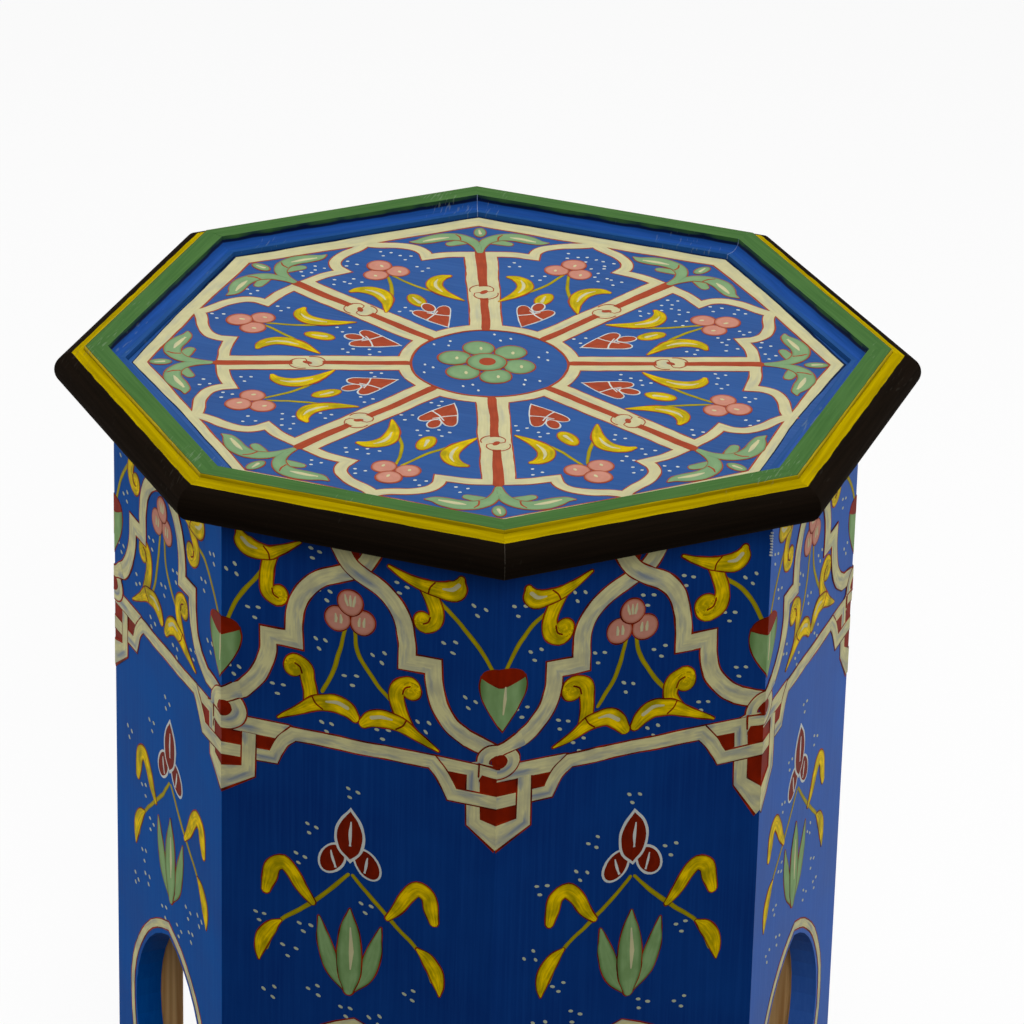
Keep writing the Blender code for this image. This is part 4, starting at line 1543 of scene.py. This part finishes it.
@dataclass
class TableBody:
    """The CAD pieces of the table, each with its own finish, and the painted-over joints between them.

    Its lengths are in millimetres.
    """

    land: float = 10.9
    fillet_line: float = 0.4
    # The next two lines are painted shade: a dark olive line on the land's outer edge next to the yellow
    # fillet, and a navy line on the cove just under the land's inner edge.
    step_shade_line: float = 0.4
    lip_shade_line: float = 0.65
    cove: float = 5.2
    yellow: float = 5.75
    edge_wobble: float = 0.7
    painted_depth: float = 0.5
    board_edge: float = 4.0
    chipped: tuple[str, ...] = ("edge_moulding_7", "rim_rail_2", "rim_rail_3")
    made: dict[str, bpy.types.Material] = field(default_factory=dict)

    def build(self) -> None:
        """Mixes the finishes, dresses every CAD node and fills the joints."""
        self.made = {stem: finish.material() for stem, finish in self.finishes().items()}
        for node in sorted(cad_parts):
            material = self.finish_of(node)
            for slot in bpy.data.objects[node].material_slots:
                slot.material = material
            log.info("dressed %s as %s", node, material.name)
            if node.startswith(("rim_rail", "edge_moulding", "side_panel")):
                self.fill_joint(node)

    def finishes(self) -> dict[str, BlueGround | BandedPaint | PlanedPine | ZincSteel]:
        """Lists the finish of each kind of piece.

        Returns:
            The stem of the nodes' names to their finish.
        """
        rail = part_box("rim_rail_1")[1][0]
        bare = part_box("side_panel_1")[0][0] + self.painted_depth * MM
        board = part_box("top_board")[1][2]
        # The olive and navy bands are painted shade lines at the rim's steps; the other bands are the rim's
        # own paints.
        yellow, olive, green = ("C4AA00", "A08A00"), ("3E4A0A", "2C380A"), ("467132", "39642A")
        navy, blue, deep = ("0A1A3C", "061230"), ("2052A2", "164488"), ("225292", "1C4A86")
        black, worn = ("1A130D", "140F0A"), ("4C463E", "37322B")
        lip = rail - self.land * MM
        foot = lip - self.cove * MM
        line = self.fillet_line * MM
        rim = ((*yellow, rail - line), (*olive, rail - line - self.step_shade_line * MM), (*green, lip),
               (*navy, lip - self.lip_shade_line * MM), (*blue, foot), (*deep, 0.0))
        edge = ((*black, rail + self.yellow * MM), (*yellow, 0.0))
        chip = ((*worn, rail + self.yellow * MM), (*yellow, 0.0))
        flaked = (*rim[:3], ("B4BED0", "2A58A0", 0.0))
        # Each board's blue is the same paint with light painted in: darker on the front boards as painted
        # shade, paler on the top and the left and right boards as painted reflection, and between these on
        # the back boards.
        front = BlueGround("brushed_blue_gloss_front_boards_with_painted_shade", Brushing.UPRIGHT, bare, 1.0,
                           "0A3A82", "1A4C98", "083278", sheen=0.02)
        return {
            "top_board": BlueGround("brushed_blue_gloss_top_with_painted_reflection", Brushing.LEVEL, 1.0,
                                    board - self.board_edge * MM, "295798", "4069AA", "224D8C"),
            "side_panel": BlueGround("brushed_blue_gloss_back_boards", Brushing.UPRIGHT, bare, 1.0,
                                     "164890", "2A5AA2", "123E82", sheen=0.02),
            "side_panel_6": BlueGround("brushed_blue_gloss_left_board_with_painted_reflection", Brushing.UPRIGHT, bare, 1.0,
                                       "0050A1", "1060B0", "004694", sheen=0.01),
            "side_panel_1": BlueGround("brushed_blue_gloss_right_board_with_painted_reflection", Brushing.UPRIGHT, bare, 1.0,
                                       "3462B6", "4474C2", "2C58A8", sheen=0.02),
            "side_panel_7": front,
            "side_panel_8": front,
            "rim_rail": BandedPaint("brushed_green_and_blue_gloss_rim", rim),
            "edge_moulding": BandedPaint("brushed_black_and_yellow_gloss_edge", edge, scratch="4A463E",
                                         wobble=self.edge_wobble * MM, roughness=0.7, sheen=0.004),
            "corner_block": PlanedPine(),
            "top_cleat": PlanedPine(),
            "top_screw": ZincSteel(),
            "cleat_screw": ZincSteel(),
            "worn_edge_moulding": BandedPaint("worn_black_and_yellow_gloss_edge", chip,
                                              wobble=self.edge_wobble * MM, roughness=0.7, sheen=0.004),
            "worn_rim_rail": BandedPaint("worn_green_and_blue_gloss_rim", flaked),
        }

    def finish_of(self, node: str) -> bpy.types.Material:
        """Picks the material of a CAD node."""
        return self.made[node if node in self.made else node.rsplit("_", 1)[0]]

    def fill_joint(self, node: str) -> None:
        """Closes the hairline between a mitred piece and the next one, which the paint runs over.

        Args:
            node: the CAD node whose end face the filling starts from.
        """
        bm = bmesh.new()
        bm.from_mesh(bpy.data.objects[node].data)
        turn = SECTOR * (int(node.rsplit("_", 1)[1]) - 0.5)
        normal = Vector((-math.sin(turn), math.cos(turn), 0))
        bm.normal_update()
        rest = [face for face in bm.faces if face.normal.dot(normal) < END_FACE]
        bmesh.ops.delete(bm, geom=rest, context="FACES")
        gap = -2 * bm.verts[:][0].co.dot(normal)
        grown = bmesh.ops.extrude_face_region(bm, geom=bm.faces[:])
        moved_on = [item for item in grown["geom"] if isinstance(item, bmesh.types.BMVert)]
        bmesh.ops.translate(bm, verts=moved_on, vec=normal * gap)
        bmesh.ops.recalc_face_normals(bm, faces=bm.faces[:])
        filling = add_object(f"joint_in_{node}", bm)
        stem = node.rsplit("_", 1)[0]
        material = self.made["worn_" + stem] if node in self.chipped else self.finish_of(node)
        filling.data.materials.append(material)
        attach(filling, "root")
        log.info("filled %s, %.2f mm wide", filling.name, gap / MM)


@dataclass
class Studio:
    """Pale floor, soft lamps and the camera that stands where the photograph was taken."""

    camera_at: tuple[float, float, float] = (0.8906, -2.4456, 1.7380)
    yaw: float = -19.72
    pitch: float = 26.707
    roll: float = 1.405
    lens: float = 202.88
    sensor: float = 36.0
    aim_height: float = 0.42
    floor_size: float = 40.0
    floor_grey: str = "606060"
    floor_glow: float = 0.88
    room_white: str = "FFFFFF"
    room_light: float = 0.12
    lamps: tuple[tuple[str, tuple[float, float, float], float, float], ...] = (
        ("overhead_softbox", (-0.15, 0.55, 2.3), 1.8, 28.0),
        ("front_softbox", (1.35, -2.6, 2.4), 1.5, 49.0),
        ("left_softbox", (-2.3, -0.2, 0.45), 0.8, 23.5),
        ("right_softbox", (1.8, 1.4, 0.45), 0.8, 19.5),
        ("back_softbox", (-0.77, 2.1, 1.6), 2.0, 4.0),
    )

    def build(self) -> None:
        """Sets up floor, world, lamps and camera."""
        self.lay_floor()
        self.light_world()
        for name, place, size, power in self.lamps:
            lamp = bpy.data.lights.new(name, "AREA")
            lamp.size = size
            lamp.energy = power
            obj = bpy.data.objects.new(name, lamp)
            obj.location = place
            aim = Vector((0, 0, self.aim_height)) - Vector(place)
            obj.rotation_euler = aim.to_track_quat("-Z", "Y").to_euler()
            bpy.context.scene.collection.objects.link(obj)
        self.set_camera()
        bpy.context.scene.view_settings.view_transform = "Standard"

    @staticmethod
    def shows_room(tree: bpy.types.NodeTree) -> Link:
        """Tells the rays that show the pale room from those that light the table.

        Args:
            tree: the node tree of the floor or the world.

        Returns:
            1 for what the camera sees, straight, in gloss or through glass, and 0 for other light.
        """
        path = add_node(tree, "LightPath").outputs
        seen = reckon(tree, "MAXIMUM", path["Is Camera Ray"], path["Is Glossy Ray"])
        return reckon(tree, "MAXIMUM", seen, path["Is Transmission Ray"])

    def lay_floor(self) -> None:
        """Lays a plain pale floor that looks white to the camera and still takes a soft shadow."""
        bm = bmesh.new()
        bmesh.ops.create_grid(bm, x_segments=1, y_segments=1, size=self.floor_size / 2)
        floor = add_object("floor", bm)
        pale, tree, shader = start_material("matt_pale_floor")
        tree.nodes.remove(shader)
        sees = self.shows_room(tree)
        matt = add_node(tree, "BsdfDiffuse", {"Color": linear(self.floor_grey)})
        glow = add_node(tree, "Emission", {"Color": linear(self.room_white), "Strength": self.floor_glow})
        lit = add_node(tree, "AddShader", {0: matt.outputs[0], 1: glow.outputs[0]})
        mixed = add_node(tree, "MixShader", {0: sees, 1: matt.outputs[0], 2: lit.outputs[0]})
        feed(tree, tree.nodes["Material Output"], {"Surface": mixed.outputs[0]})
        floor.data.materials.append(pale)

    def light_world(self) -> None:
        """Fills the room with dim even light, and shows it white to the camera."""
        world = bpy.data.worlds.new("studio")
        bpy.context.scene.world = world
        world.use_nodes = True
        tree = world.node_tree
        level = ranged(tree, self.shows_room(tree), 0.0, 1.0, self.room_light, 1.0)
        feed(tree, tree.nodes["Background"], {"Color": linear(self.room_white), "Strength": level})

    def set_camera(self) -> None:
        """Places the camera as the photograph's corners were measured to need."""
        yaw, pitch, roll = (math.radians(a) for a in (self.yaw, self.pitch, self.roll))
        ahead = Vector((math.sin(yaw) * math.cos(pitch), math.cos(yaw) * math.cos(pitch), -math.sin(pitch)))
        level = Vector((math.cos(yaw), -math.sin(yaw), 0))
        upright = level.cross(ahead)
        right = level * math.cos(roll) + upright * math.sin(roll)
        up = upright * math.cos(roll) - level * math.sin(roll)
        camera = bpy.data.cameras.new("camera")
        camera.lens = self.lens
        camera.sensor_width = self.sensor
        obj = bpy.data.objects.new("camera", camera)
        axes = Matrix((right, up, -ahead)).transposed().to_4x4()
        obj.matrix_world = Matrix.Translation(self.camera_at) @ axes
        bpy.context.scene.collection.objects.link(obj)
        bpy.context.scene.camera = obj


def main() -> None:
    """Builds the studio, dresses the table and paints its ornament."""
    logging.basicConfig(level=logging.INFO, format="%(name)s: %(message)s")
    noise.seed_set(HAND_SEED)
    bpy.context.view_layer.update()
    Studio().build()
    TableBody().build()
    materials = {pigment.paint: pigment.material() for pigment in PIGMENTS}
    TopOrnament(materials=materials).build()
    for i in range(SECTORS):
        SideOrnament(i, DRIFTS.get(i, BoardDrift()), materials=materials).build()


if __name__ == "__main__":
    main()
